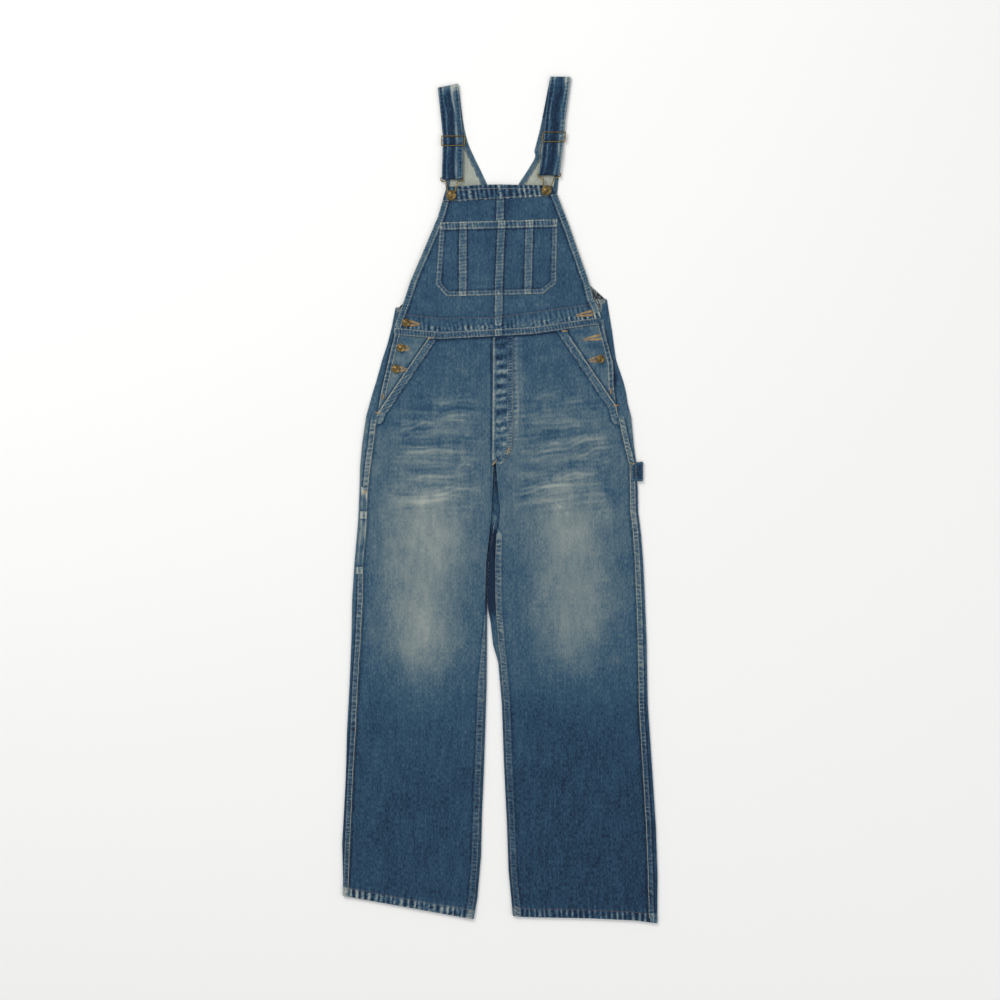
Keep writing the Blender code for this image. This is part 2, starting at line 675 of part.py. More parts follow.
RETURN_MID = 2.3
HOOK_BAR_Z = RETURN_MID + STRAP_WALL / 2 + GAP + WIRE / 2
STRAP_TOP_MID = HOOK_BAR_Z + WIRE / 2 + GAP + STRAP_WALL / 2
SLIDER_Z = 6.0
SLIDER_SWING = STRAP_WALL / 2 + SLIDER_WIRE / 2 + GAP
SHOULDER_MID = 4.6


def strap_profile(run, slider_y):
    """The strap's side view: up the back, over the shoulder, through the slider, round the hook's bar."""
    top_y, end_y = run[0, 0], run[-1, 0]
    half = STRAP_WALL / 2
    fold = (SHOULDER_MID - half) / 2
    points = [(STRAP_START, half), (top_y - 25.0, half), (top_y - half - fold, half)]
    for degrees in (-50, 0, 50):
        angle = math.radians(degrees)
        points.append((top_y - half - fold + fold * math.cos(angle), half + fold * (1 + math.sin(angle))))
    points += [(top_y - half - fold, SHOULDER_MID), (top_y - 40.0, SHOULDER_MID)]
    points += [(slider_y + 20.0, SHOULDER_MID)]
    for offset, swing in ((SLIDER_HALF, -1.0), (SLIDER_HALF / 2, 0.1), (0.0, 1.0),
                          (-SLIDER_HALF / 2, 0.1), (-SLIDER_HALF, -1.0)):
        points.append((slider_y + offset, SLIDER_Z + swing * SLIDER_SWING))
    points += [(slider_y - 15.0, 5.0), (slider_y - 26.0, STRAP_TOP_MID - 0.4), (end_y + 14.0, STRAP_TOP_MID)]
    loop = (STRAP_TOP_MID - RETURN_MID) / 2
    middle_y = end_y + half + loop
    for degrees in (90, 45, 0, -45, -90):
        angle = math.radians(degrees)
        points.append((middle_y - loop * math.cos(angle), RETURN_MID + loop * (1 + math.sin(angle))))
    points += [(end_y + 26.0, RETURN_MID), (slider_y - 18.0, RETURN_MID)]
    return np.array(points)


def add_strap(name, run, slider_y, slant, swerve):
    """A doubled denim strap, one wall swept along its side view.

    Its fold at the shoulder slants, and its back run swerves out from under the front one.
    """
    line = strap_profile(run, slider_y)
    direction = np.gradient(line, axis=0)
    direction /= np.linalg.norm(direction, axis=1)[:, None]
    normal = np.stack([direction[:, 1], -direction[:, 0]], axis=1)
    middle_x = column(run, 0, 1)(line[:, 0])
    top_y = run[0, 0]
    middle_x[:3] += swerve * (top_y - line[:3, 0]) / (top_y - STRAP_START)
    lean = slant * np.clip((line[:, 0] - top_y + 40.0) / 40.0, 0.0, 1.0)
    across = np.linspace(-STRAP_WIDTH / 2, STRAP_WIDTH / 2, 3)
    grids = []
    for offset in (-STRAP_WALL / 2, STRAP_WALL / 2):
        place = line + normal * offset
        grid_x = middle_x[:, None] + across[None, :]
        grid_y = place[:, 0:1] + lean[:, None] * across[None, :] / (STRAP_WIDTH / 2)
        grid_z = np.repeat(place[:, 1:2], 3, axis=1)
        grids.append(np.stack([grid_x, grid_y, grid_z], axis=-1))
    return add_sheet(name, grids[0], grids[1], DENIM)


def add_slider(name, run, slider_y):
    """A wire slider: a rectangular frame over the strap and a middle bar under it, bent as one wire."""
    middle = float(column(run, 0, 1)(slider_y))
    half_width = STRAP_WIDTH / 2 + GAP + SLIDER_WIRE / 2 + 0.6
    corner = 2.0
    route = []
    for x_sign, y_sign, start in ((1, 1, 0), (-1, 1, 90), (-1, -1, 180), (1, -1, 270)):
        for degrees in (start, start + 45, start + 90):
            angle = math.radians(degrees)
            corner_y = slider_y + y_sign * (SLIDER_HALF - corner) + corner * math.sin(angle)
            lean = float(column(run, 0, 1)(corner_y)) - middle
            route.append((middle + lean + x_sign * (half_width - corner) + corner * math.cos(angle),
                          corner_y, SLIDER_Z))
    frame = add_tube(name, route, SLIDER_WIRE / 2, BRASS, closed=True)
    bar_line = [(middle - half_width, slider_y, SLIDER_Z), (middle + half_width, slider_y, SLIDER_Z)]
    bar = add_tube(name + "_bar", bar_line, SLIDER_WIRE / 2 - 0.1, BRASS)
    join = frame.modifiers.new("middle_bar", "BOOLEAN")
    join.operation = "UNION"
    join.object = bar
    bar.hide_render = True
    bar.display_type = "WIRE"
    return frame


BIB_WIRE_Z = ON_BIB + WALL + GAP + WIRE / 2


def add_hook(name, run, button):
    """The wire hook: a wide frame in the strap's loop, a neck, and a ring round the bib button."""
    end = np.array([float(column(run, 0, 1)(run[-1, 0])), run[-1, 0]])
    place = np.array(button)
    reach = float(end[1] - place[1])
    axis = (end - place) / reach
    aside = np.array([1.0, 0.0])
    bar_at = reach + STRAP_WALL + GAP + WIRE / 2 + 0.5
    wide = STRAP_WIDTH / 2 + GAP + WIRE / 2 + 0.5
    half = [(bar_at, 0.0, HOOK_BAR_Z), (bar_at, wide - 3.0, HOOK_BAR_Z), (bar_at - 1.0, wide - 0.6, HOOK_BAR_Z),
            (bar_at - 3.0, wide, HOOK_BAR_Z), (reach - 0.5, wide, HOOK_BAR_Z + 0.3),
            (reach - 2.6, wide - 1.2, HOOK_BAR_Z + 0.9), (reach - 3.4, wide - 4.0, HOOK_BAR_Z + 1.4),
            (reach - 4.2, 11.0, HOOK_BAR_Z + 2.2), (reach - 6.4, 9.4, HOOK_BAR_Z + 3.0)]
    half += [(max(12.5, reach - 11.0), 8.6, BIB_WIRE_Z)]
    for degrees in (40, 10, -20, -55):
        angle = math.radians(degrees)
        half.append((HOOK_RING * math.sin(angle), HOOK_RING * math.cos(angle), BIB_WIRE_Z))
    half.append((-HOOK_RING, 0.0, BIB_WIRE_Z))
    far_side = [(along, -across, z) for along, across, z in half[1:-1]][::-1]
    route = [(*(place + axis * along + aside * across), z) for along, across, z in half + far_side]
    return add_tube(name, route, WIRE / 2, BRASS, closed=True)


def add_button(name, place, diameter, seat_z, cap_z):
    """A shank button: a stem on the cloth and a rimmed, slightly domed cap."""
    half = diameter / 2
    profile = [(0.0, seat_z), (3.0, seat_z), (3.0, cap_z), (half - 0.8, cap_z), (half, cap_z + 0.7),
               (half - 0.5, cap_z + 1.5), (half - 2.0, cap_z + 1.3), (half * 0.45, cap_z + 1.9),
               (0.0, cap_z + 2.1)]
    return add_turned(name, place, profile, BRASS, sides=18)


def add_hammer_loop():
    """The loop on the left leg: a strip from the outseam out past the side and back at the fold."""
    start_x, fold_x, out_x = 229.2, 241.0, 250.4
    top = 33.0 + LOOP_WIDTH
    level = float(lie(230.0, 48.0)) + LIFT + SEAM_RISE + WALL / 2 + 0.25
    half = WALL / 2
    drop = (level - half) / 2
    line = [(start_x, level), ((start_x + fold_x) / 2, level), (fold_x, level)]
    reach = 3.0
    for degrees in (90, 50, 10, -30, -60, -90):
        angle = math.radians(degrees)
        line.append((out_x - half - reach + reach * math.cos(angle), half + drop * (1 + math.sin(angle))))
    line.append((out_x - half - reach - 2.2, half))
    line = np.array(line)
    direction = np.gradient(line, axis=0)
    direction /= np.linalg.norm(direction, axis=1)[:, None]
    normal = np.stack([-direction[:, 1], direction[:, 0]], axis=1)
    grids = []
    for offset in (-half, half):
        place = line + normal * offset
        columns = []
        for share in (0.0, 0.5, 1.0):
            lean = 3.5 * np.clip((place[:, 0] - start_x) / (out_x - start_x), 0.0, 1.0)
            columns.append(np.stack([place[:, 0], top - share * LOOP_WIDTH + lean * (1 - share),
                                     place[:, 1]], axis=-1))
        grids.append(np.stack(columns, axis=1))
    return add_sheet("hammer_loop", grids[0], grids[1], DENIM)


def add_tool_pocket():
    """The tool pocket's strip that shows on the right back's flap, with its slanted mouth."""
    rows = np.array([13.0, -16.0, -45.0, -60.0, -85.0, -110.0, -129.0])
    outer = column(RIGHT_LEG, 0, 1)(rows) + 3.4
    inner = column(RIGHT_LEG, 0, 2)(rows) - 0.8
    page_x = np.stack([inner, inner - FELLED_WIDTH, outer], axis=1)
    page_y = np.repeat(rows[:, None], 3, axis=1)
    page_y[0] += np.array([0.0, 7.5, 11.0])
    under = lie(page_x, page_y) + LIFT + SEAM_RISE + 0.15
    return sheet_from_page("tool_pocket", page_x, page_y, under, np.zeros(page_x.shape))


# The garment

add_back_leg("back_right_leg", -1, RIGHT_LEG, RIGHT_HIP, RIGHT_HEM)
add_back_leg("back_left_leg", 1, LEFT_LEG, LEFT_HIP, LEFT_HEM)
add_back_bib()
add_front_leg("front_right_leg", -1, RIGHT_LEG, RIGHT_MOUTH, RIGHT_HEM, -10.2)
add_front_leg("front_left_leg", 1, LEFT_LEG, LEFT_MOUTH, LEFT_HEM, -10.2)
add_hip_facing("hip_facing_right", -1, RIGHT_FACING_EDGE, RIGHT_MOUTH)
add_hip_facing("hip_facing_left", 1, LEFT_FACING_EDGE, LEFT_MOUTH)
add_side_placket("side_placket_right", -1, RIGHT_FACING_EDGE, 292.0, 182.0)
add_side_placket("side_placket_left", 1, LEFT_FACING_EDGE, 308.0, 192.0)
add_bib()
add_bib_top_band()
add_bib_pocket()
add_waist_seam()
add_fly_placket()
add_hammer_loop()
add_tool_pocket()

CAP_ON_BIB = BIB_WIRE_Z + WIRE / 2 + GAP
FACING_FACE = FACING_UNDER + WALL
for side_name, strap_run, slide_y, bib_button, slant, swerve in (
        ("right", RIGHT_STRAP, RIGHT_SLIDER_Y, RIGHT_BIB_BUTTON, 3.7, 1.7),
        ("left", LEFT_STRAP, LEFT_SLIDER_Y, LEFT_BIB_BUTTON, 0.0, -4.6)):
    add_strap("strap_" + side_name, strap_run, slide_y, slant, swerve)
    add_slider("slider_" + side_name, strap_run, slide_y)
    add_hook("hook_" + side_name, strap_run, bib_button)
    add_button("bib_button_" + side_name, bib_button, BIB_BUTTON, ON_BIB + WALL + GAP, CAP_ON_BIB)
add_button("waist_button_right", RIGHT_WAIST_BUTTON, SIDE_BUTTON, BIB_FACE + GAP, ON_BIB + WALL + GAP)
for button_name, button_place in (("side_button_right_upper", RIGHT_SIDE_BUTTON_A),
                                  ("side_button_right_lower", RIGHT_SIDE_BUTTON_B),
                                  ("side_button_left", LEFT_SIDE_BUTTON)):
    add_button(button_name, button_place, SIDE_BUTTON, FACING_FACE + GAP, FACING_FACE + LIFT + GAP)
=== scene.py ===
"""Denim bib overalls laid flat, front up: the cloth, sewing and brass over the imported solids.

Sizes below are in millimetres, like the solids' own tables, and become metres in new_mesh. The
wearer's right leg lies at -X. Every cloth face is one height formula of its place on the page, so
panels, stitches and buttonholes made from it meet exactly.
"""

import math

import bpy
import numpy as np
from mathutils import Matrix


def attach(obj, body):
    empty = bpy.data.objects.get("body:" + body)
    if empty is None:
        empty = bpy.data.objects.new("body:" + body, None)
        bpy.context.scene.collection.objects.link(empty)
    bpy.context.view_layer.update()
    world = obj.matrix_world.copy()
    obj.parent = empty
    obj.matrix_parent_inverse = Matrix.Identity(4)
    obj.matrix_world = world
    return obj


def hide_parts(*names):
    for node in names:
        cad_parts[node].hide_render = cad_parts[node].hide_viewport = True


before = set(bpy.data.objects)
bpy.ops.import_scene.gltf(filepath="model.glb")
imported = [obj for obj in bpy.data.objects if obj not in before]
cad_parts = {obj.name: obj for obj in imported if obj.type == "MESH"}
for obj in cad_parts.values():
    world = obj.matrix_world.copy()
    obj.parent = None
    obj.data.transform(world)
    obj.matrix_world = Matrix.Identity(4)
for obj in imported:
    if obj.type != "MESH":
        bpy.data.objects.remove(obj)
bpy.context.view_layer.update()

MM = 0.001

# Cloth and seams. Pieces keep AIR between them, and at a seam each one gives half of it
CLOTH = 1.0
SEAM_RISE = 0.8
AIR = 0.3
SEAM_GAP = AIR / 2
FELLED = 9.6
INSEAM_BAND = 10.5
HEM_DEPTH = 15.5
HEM_END = 12.0
BIB_HEM = 11.0
STRAP_WIDTH = 36.0
STRAP_WALL = 1.8
WIRE = 2.0
SLIDER_WIRE = 1.8
BIB_BUTTON = 17.0
SIDE_BUTTON = 14.7

# Heights of the solids: the front layer's underside, the wrapped flap's middle, the facing
HIP_LIE = 4.6
LEG_LIE = 3.9
FLAP_MID = 2.35
FACING_UNDER = 3.2

# Rows on the page: where the pocket mouths start, where the panels' tops start to lean and end,
# and where the rows start to lean towards the hem and nominally end
MOUTH_START = 145.0
FRONT_LEAN = 236.0
FRONT_TOP = 290.0
BACK_LEAN = 300.0
BACK_TOP = 335.0
SLANT_START = -500.0
HEM_NOMINAL = -730.0

# Sections of each leg, hem last. Columns: y, outer fold, outseam, inseam, inner fold
RIGHT_LEG = np.array([
    (145, -234.7, -215.6, -10.6, -10.2),
    (100, -241.3, -220.6, -11.0, -10.2),
    (61, -245.0, -226.2, -11.2, -10.2),
    (15, -246.3, -230.8, -13.3, -10.2),
    (-35, -248.5, -232.8, -15.8, -10.2),
    (-60, -250.5, -233.8, -18.5, -13.0),
    (-110, -255.0, -238.9, -24.3, -20.8),
    (-175, -259.0, -239.8, -26.0, -22.5),
    (-250, -260.5, -243.6, -26.4, -22.8),
    (-322, -263.5, -248.2, -27.5, -23.5),
    (-405, -268.0, -252.0, -30.8, -26.0),
    (-480, -270.0, -256.5, -33.6, -28.5),
    (-547, -273.0, -259.4, -36.0, -31.5),
    (-621, -276.5, -262.7, -38.5, -33.3),
    (-693, -275.0, -265.0, -43.5, -39.5),
    (-735, -275.0, -265.5, -51.0, -47.0),
])
LEFT_LEG = np.array([
    (145, 229.8, 206.8, -10.0, -9.8),
    (100, 234.0, 216.4, -9.6, -9.8),
    (61, 239.0, 226.2, -7.0, -9.8),
    (15, 241.5, 227.3, -3.0, -9.8),
    (-20, 242.0, 227.9, 0.6, -9.8),
    (-45, 245.2, 230.8, -2.0, -9.8),
    (-60, 247.0, 232.5, -6.5, -12.6),
    (-110, 250.9, 235.6, -8.6, -20.2),
    (-175, 254.0, 238.2, -8.0, -22.0),
    (-192, 254.6, 238.8, -7.0, -20.8),
    (-215, 255.5, 239.6, -5.5, -16.5),
    (-254, 257.0, 240.7, -2.6, -12.0),
    (-285, 257.4, 241.6, 1.0, -3.0),
    (-359, 259.0, 242.4, 6.9, 3.3),
    (-464, 266.0, 248.6, 10.8, 7.0),
    (-569, 273.0, 254.9, 15.8, 12.2),
    (-651, 276.0, 257.9, 18.8, 15.0),
    (-740, 275.5, 260.2, 27.5, 23.5),
])

# Sections of each hip. Columns: y, outer fold, end of the back's wrapped flap
RIGHT_HIP = np.array([
    (145, -234.7, -215.9), (168, -228.6, -212.3), (189, -222.8, -208.8), (206, -217.2, -194.0),
    (245, -206.5, -185.0), (271, -197.8, -179.0), (298, -190.8, -173.0), (335, -182.8, -168.0),
])
LEFT_HIP = np.array([
    (145, 229.8, 207.1), (168, 223.8, 203.8), (189, 220.6, 200.6), (206, 216.5, 187.0),
    (245, 203.4, 184.5), (271, 199.5, 176.5), (298, 196.0, 169.5), (335, 187.0, 176.0),
])

# Lines on the page. Columns: x, y
RIGHT_FACING_EDGE = np.array([
    (-215.6, 145), (-208.4, 189), (-195.4, 245), (-183.7, 295), (-181.0, 304),
])
LEFT_FACING_EDGE = np.array([
    (206.8, 145), (200.2, 189), (198.0, 240), (182.4, 298), (179.2, 310),
])
RIGHT_MOUTH = np.array([(-216.2, 145), (-214.4, 152.6), (-125.8, 283.5), (-120.0, 292)])
LEFT_MOUTH = np.array([(207.4, 145), (203.5, 164.9), (115.2, 295.8), (111.0, 302)])
WAIST_SEAM = np.array([
    (-186, 292), (-128, 287), (-103, 284.5), (-12, 289.5), (58, 293.5), (131, 304.5), (179, 311),
])
BIB_RIGHT_EDGE = np.array([
    (-94.0, 547.8), (-101.5, 521.5), (-108.5, 497), (-156.6, 385), (-170.6, 342), (-184.6, 303),
    (-186, 292),
])
BIB_LEFT_EDGE = np.array([
    (91.5, 550.4), (101.5, 532), (122.5, 477.8), (155.2, 385), (163.5, 352.8), (171.5, 337.8),
    (179, 311),
])
BIB_TOP = np.array([(-94.0, 547.8), (-22.8, 552), (1.8, 552.2), (91.5, 550.4)])
RIGHT_HEM = np.array([(-275, -693), (-47, -734)])
LEFT_HEM = np.array([(23.5, -728.5), (50, -730.5), (158, -732.4), (234.5, -736), (275.5, -741)])

# Patch pocket on the bib. Columns: left x, left y, right x, right y
BIB_POCKET = np.array([
    (-104.5, 485.6, 100.0, 491.4), (-105.2, 472.8, 99.8, 478.6), (-108.4, 425.0, 98.9, 429.0),
    (-112.0, 376.6, 98.0, 379.2), (-93.5, 356.5, 75.2, 361.0),
])

# The high back as a ribbon round its V. Columns: inner edge x, y, outer edge x, y
BACK_BIB = np.array([
    (-65.5, 668.5, -101.5, 668.5), (-61.8, 647.5, -99.5, 647.5), (-56.2, 626.0, -98.5, 626.0),
    (-46.8, 603.8, -98.0, 600.0), (-34.2, 578.0, -95.5, 566.0), (-22.3, 553.0, -94.8, 530.0),
    (-7.0, 526.0, -106.0, 470.0), (-1.0, 517.0, -146.0, 390.0), (0.3, 515.0, -167.0, 346.0),
    (1.5, 513.0, -181.0, 339.0), (4.0, 511.0, -95.0, 339.0), (6.2, 510.5, 5.0, 343.0),
    (8.4, 511.0, 100.0, 347.0), (11.0, 513.0, 184.5, 350.5), (13.0, 515.5, 160.5, 361.0),
    (15.0, 519.0, 150.0, 390.0), (20.0, 531.0, 113.0, 470.0), (33.2, 554.5, 99.5, 530.0),
    (47.4, 576.0, 103.0, 566.0), (61.2, 600.0, 105.5, 600.0), (60.2, 611.0, 107.0, 611.0),
    (63.0, 622.0, 108.5, 624.0), (69.5, 647.5, 112.0, 647.5), (74.0, 668.5, 114.5, 668.5),
])

# Fly placket. Columns: y, edge at the centre front, curved edge
FLY = np.array([
    (288.0, -11.6, 22.5), (250.0, -12.0, 22.5), (190.0, -12.6, 22.5), (140.0, -13.0, 22.5),
    (104.0, -13.3, 22.3), (87.0, -13.5, 20.0), (77.0, -13.6, 15.5), (69.0, -13.7, 9.5),
    (63.5, -13.8, 2.5),
])

# The legs' soft folds, as in the solids. Columns: x, y, degrees, half length, half width, height
FOLDS = np.array([
    (-150, 28, 12, 95, 26, 0.45), (-90, 60, 168, 70, 24, -0.40), (-170, -85, 82, 80, 30, 0.45),
    (-100, -140, 75, 90, 34, -0.45), (-190, -250, 8, 70, 28, 0.40), (-110, -330, 95, 110, 30, 0.45),
    (-180, -450, 88, 120, 30, -0.45), (-90, -560, 92, 100, 28, 0.40), (189, 12, 115, 60, 22, -0.55),
    (150, 34, 170, 90, 26, 0.45), (90, 60, 14, 60, 24, -0.35), (120, -120, 96, 90, 34, 0.45),
    (190, -230, 84, 90, 28, -0.45), (100, -340, 90, 110, 32, 0.40), (180, -470, 92, 110, 30, 0.45),
    (90, -600, 86, 90, 28, -0.40),
])

# Straps. Columns: y, middle x
RIGHT_STRAP = np.array([
    (725.0, -91.0), (668.0, -85.2), (636.5, -82.2), (600.0, -82.8), (561.0, -84.0),
])
LEFT_STRAP = np.array([(740.6, 105.9), (668.0, 96.6), (634.0, 94.4), (600.0, 90.2), (568.4, 86.0)])
STRAP_START = 669.0
RIGHT_SLIDER_Y = 628.7
LEFT_SLIDER_Y = 635.4
SLIDER_HALF = 8.2

RIGHT_BIB_BUTTON = (-85.2, 533.0)
LEFT_BIB_BUTTON = (81.4, 541.5)
RIGHT_WAIST_BUTTON = (-164.2, 310.0)
RIGHT_SIDE_BUTTON_A = (-173.3, 266.5)
RIGHT_SIDE_BUTTON_B = (-182.4, 229.4)
LEFT_SIDE_BUTTON = (175.7, 246.8)

# Wash: how far the indigo has gone, 0 dark to 1 pale, down the garment's middle. Columns: y, wash
WASH_DOWN = np.array([
    (700, 0.30), (560, 0.34), (520, 0.40), (400, 0.43), (320, 0.45), (240, 0.48), (170, 0.54),
    (90, 0.64), (0, 0.62), (-100, 0.54), (-260, 0.50), (-330, 0.43), (-400, 0.32), (-500, 0.27),
    (-740, 0.24),
])

# Soft patches on the front, pale above zero and dark below. The pale ones are worn fades; the dark
# ones along the fly's left edge, beside the bib's centre strip, by the left side placket's lower end
# and between the legs are painted shade, the rest darker patches by the side openings. Columns: x, y,
# half width, half height, wash_and_shade
FADES_AND_SHADE = np.array([
    (-136, -150, 69, 165, 0.44), (-126, -52, 84, 60, 0.14), (-134, -255, 56, 66, 0.13),
    (-108, 60, 70, 75, 0.10), (126, -135, 69, 148, 0.39), (116, -34, 88, 52, 0.10),
    (130, -232, 48, 58, 0.12), (112, 62, 66, 72, 0.10), (-90, 130, 40, 30, 0.06),
    (110, 150, 45, 30, 0.05), (201, 212, 4, 12, -0.50), (-14, 540, 12, 10, -0.25),
    (18, 545, 10, 8, -0.15), (14, 500, 9, 30, -0.10), (-173, 280, 14, 5, -0.25),
    (-176, 257, 12, 5, -0.22), (-185, 236, 10, 5, -0.18), (-15.4, 240, 1.6, 60, -0.5),
    (-15.6, 120, 1.6, 70, -0.5), (34, 190, 9, 110, 0.12), (141, 294, 18, 5, -0.20),
    (166, 270, 12, 5, -0.22), (177, 236, 10, 6, -0.18), (-223, -563, 5, 7, 0.15),
    (-14, -120, 7, 80, -0.45), (-8, -10, 8, 60, -0.30),
])

# Whiskers across the thighs, pale above zero and dark below. Columns: x, y, x, y, half width, wash
WHISKERS = np.array([
    (-175, 119, -117, 136, 3.5, 0.18), (-172, 111, -120, 127, 4.5, -0.14),
    (-118, 167, -33, 173, 5.0, 0.12), (-110, 155, -40, 160, 5.0, -0.15), (-100, 143, -35, 150, 6.0, 0.12),
    (-180, 82, -64, 84, 4.5, 0.14), (-168, 96, -40, 98, 7.0, -0.11), (-78, 58, -42, 60, 4.0, 0.13),
    (-190, 68, -100, 65, 6.0, 0.08), (-158, 36, -56, 42, 4.0, 0.15), (-175, 50, -80, 50, 6.0, -0.12),
    (-60, 48, -30, 53, 5.0, -0.10), (-117, 7, -40, 20, 4.0, 0.15), (-145, 21, -50, 29, 6.0, -0.11),
    (-175, -5, -70, -2, 6.0, 0.10), (-60, -12, -28, -6, 4.0, 0.08), (-200, 20, -165, 12, 7.0, -0.08),
    (44, 121, 155, 128, 3.8, 0.13), (60, 111, 150, 118, 6.0, -0.09), (63, 80, 110, 89, 4.0, 0.12),
    (110, 89, 187, 111, 4.0, 0.14), (80, 74, 160, 92, 7.0, -0.10), (135, 75, 200, 95, 3.8, 0.13),
    (120, 62, 190, 77, 6.0, -0.10), (155, 65, 192, 67, 3.5, 0.11), (91, 36, 168, 47, 4.0, 0.14),
    (70, 46, 150, 56, 7.0, -0.10), (28, 9, 137, 30, 4.5, 0.16), (30, 20, 120, 40, 7.0, -0.09),
    (28, -8, 88, 2, 5.0, 0.11), (30, 1, 92, 13, 6.0, -0.12), (60, 177, 107, 182, 4.5, 0.13),
    (107, 170, 149, 170, 4.5, 0.12), (62, 167, 120, 173, 5.0, -0.08), (171, 49, 206, -26, 7.0, -0.08),
    (26.5, 286, 28, 112, 3.2, 0.10),
    (162, 44, 196, -28, 4.0, 0.05), (96, -3, 104, -18, 2.0, 0.14), (45, 140, 95, 146, 6.0, 0.08),
])


# Helpers for lines and grids

def gone_along(line):
    """Length gone at each point of a line: the running sum of its steps."""
    return np.insert(np.cumsum(np.linalg.norm(np.diff(line, axis=0), axis=1)), 0, 0.0)


def unit(vectors):
    """Rows of vectors, each divided by its length."""
    return vectors / np.linalg.norm(vectors, axis=1)[:, None]


def gone_over(first, second, axis):
    """Length gone along a grid's rows or columns, in the plane of two of its coordinates."""
    steps = np.hypot(np.diff(first, axis=axis), np.diff(second, axis=axis))
    return np.insert(np.cumsum(steps, axis=axis), 0, 0.0, axis=axis)


def at_length(line, gone, place):
    """Points on a line at some lengths along it, given the length gone at each of its points."""
    return np.stack([np.interp(place, gone, line[:, 0]), np.interp(place, gone, line[:, 1])], axis=1)


def normal_of(line):
    """Unit normal, on its right, at each point of a line in a plane."""
    direction = unit(np.gradient(line, axis=0))
    return np.stack([direction[:, 1], -direction[:, 0]], axis=1)


def offset_line(line, distance):
    """A line moved to its left by a distance, its corners mitred."""
    line = np.asarray(line, dtype=float)
    step = unit(np.diff(line, axis=0))
    left = np.stack([-step[:, 1], step[:, 0]], axis=1)
    joint = unit(np.concatenate([left[:1], left[:-1] + left[1:], left[-1:]]))
    other = np.concatenate([left[:1], left])
    return line + joint * distance / np.clip((joint * other).sum(axis=1), 0.5, None)[:, None]


def smooth_route(points, pitch, closed=False):
    """Points about a pitch apart on a Catmull-Rom curve, which passes through every given point."""
    points = np.asarray(points, dtype=float)
    if closed:
        padded = np.concatenate([points[-1:], points, points[:2]])
    else:
        padded = np.concatenate([2 * points[:1] - points[1:2], points, 2 * points[-1:] - points[-2:-1]])
    pieces = []
    for place in range(len(padded) - 3):
        before, start, end, after = padded[place:place + 4]
        count = max(2, int(np.linalg.norm(end - start) / pitch))
        part = (np.arange(count) / count)[:, None]
        curve = 2 * start + part * (end - before) + part ** 2 * (2 * before - 5 * start + 4 * end - after)
        pieces.append((curve + part ** 3 * (3 * start - before - 3 * end + after)) / 2)
    if not closed:
        pieces.append(points[-1:])
    return np.concatenate(pieces)


def half_turn(start, end):
    """Nine angles from start to end degrees, in radians, as a row."""
    return np.linspace(start, end, 9)[None, :] * math.pi / 180


def quads_of(index):
    """Four-sided faces between neighbours of a grid of vertex numbers."""
    corners = [index[:-1, :-1], index[:-1, 1:], index[1:, 1:], index[1:, :-1]]
    return np.stack(corners, axis=-1).reshape(-1, 4)


def bump(value, middle, width):
    """A bell, 1 in the middle: exp(-((value - middle) / width)^2)."""
    return np.exp(-((value - middle) / width) ** 2)


def between(value, low, high, soft_low, soft_high=None):
    """1 from low to high, eased over the soft width above low and below high."""
    soft_high = soft_low if soft_high is None else soft_high
    return ease(value, low, low + soft_low) * (1 - ease(value, high - soft_high, high))


# Fields over the page

WHISKER_GAIN = 1.65
ROPE_SLANT = 0.12


def column(table, key, value):
    """Value of a table's column at a place along its key column, in straight runs between rows."""
    order = np.argsort(table[:, key])
    return lambda place: np.interp(place, table[order, key], table[order, value])


def ease(value, low, high):
    """Smooth step from 0 at low to 1 at high."""
    part = np.clip((value - low) / (high - low), 0.0, 1.0)
    return part * part * (3 - 2 * part)


def cloud(x, y, width, height, seed):
    """Smooth noise from -1 to 1: random values on a lattice of such cells, eased between them."""
    lattice = np.random.default_rng(seed).uniform(-1.0, 1.0, (128, 128))
    across = np.asarray(x, dtype=float) / width + 512.37
    down = np.asarray(y, dtype=float) / height + 512.61
    left, low = np.floor(across).astype(int), np.floor(down).astype(int)
    part_x, part_y = across - left, down - low
    part_x, part_y = part_x * part_x * (3 - 2 * part_x), part_y * part_y * (3 - 2 * part_y)
    corner = [[lattice[(left + i) % 128, (low + j) % 128] for j in (0, 1)] for i in (0, 1)]
    bottom = corner[0][0] + part_x * (corner[1][0] - corner[0][0])
    top = corner[0][1] + part_x * (corner[1][1] - corner[0][1])
    return bottom + part_y * (top - bottom)


def wobble(run, pitch, seed):
    """Uneven wave from -1 to 1 along a seam: two sines whose pitches don't share a beat."""
    turn = 2 * math.pi * np.asarray(run) / pitch
    second = turn / 1.618 + 2.1 * seed + 0.7 * np.sin(turn / 5.3)
    return 0.6 * np.sin(turn + seed) + 0.4 * np.sin(second)


def ticks(run, signed, pitch, seed):
    """Uneven lumps from -1 to 1 along a seam, slanted by ROPE_SLANT of the way across it.

    They are a squared-off sine, its phase and strength wandering.
    """
    run = np.asarray(run, dtype=float) + ROPE_SLANT * signed
    drift = run / pitch + 0.38 * cloud(run, seed * 37.0, 1.7 * pitch, 9.0, 71)
    wave = np.sin(2 * math.pi * drift + seed)
    sharp = np.sign(wave) * np.abs(wave) ** 0.6
    return sharp * (0.62 + 0.38 * cloud(run, seed * 11.0, 2.6 * pitch, 9.0, 72))


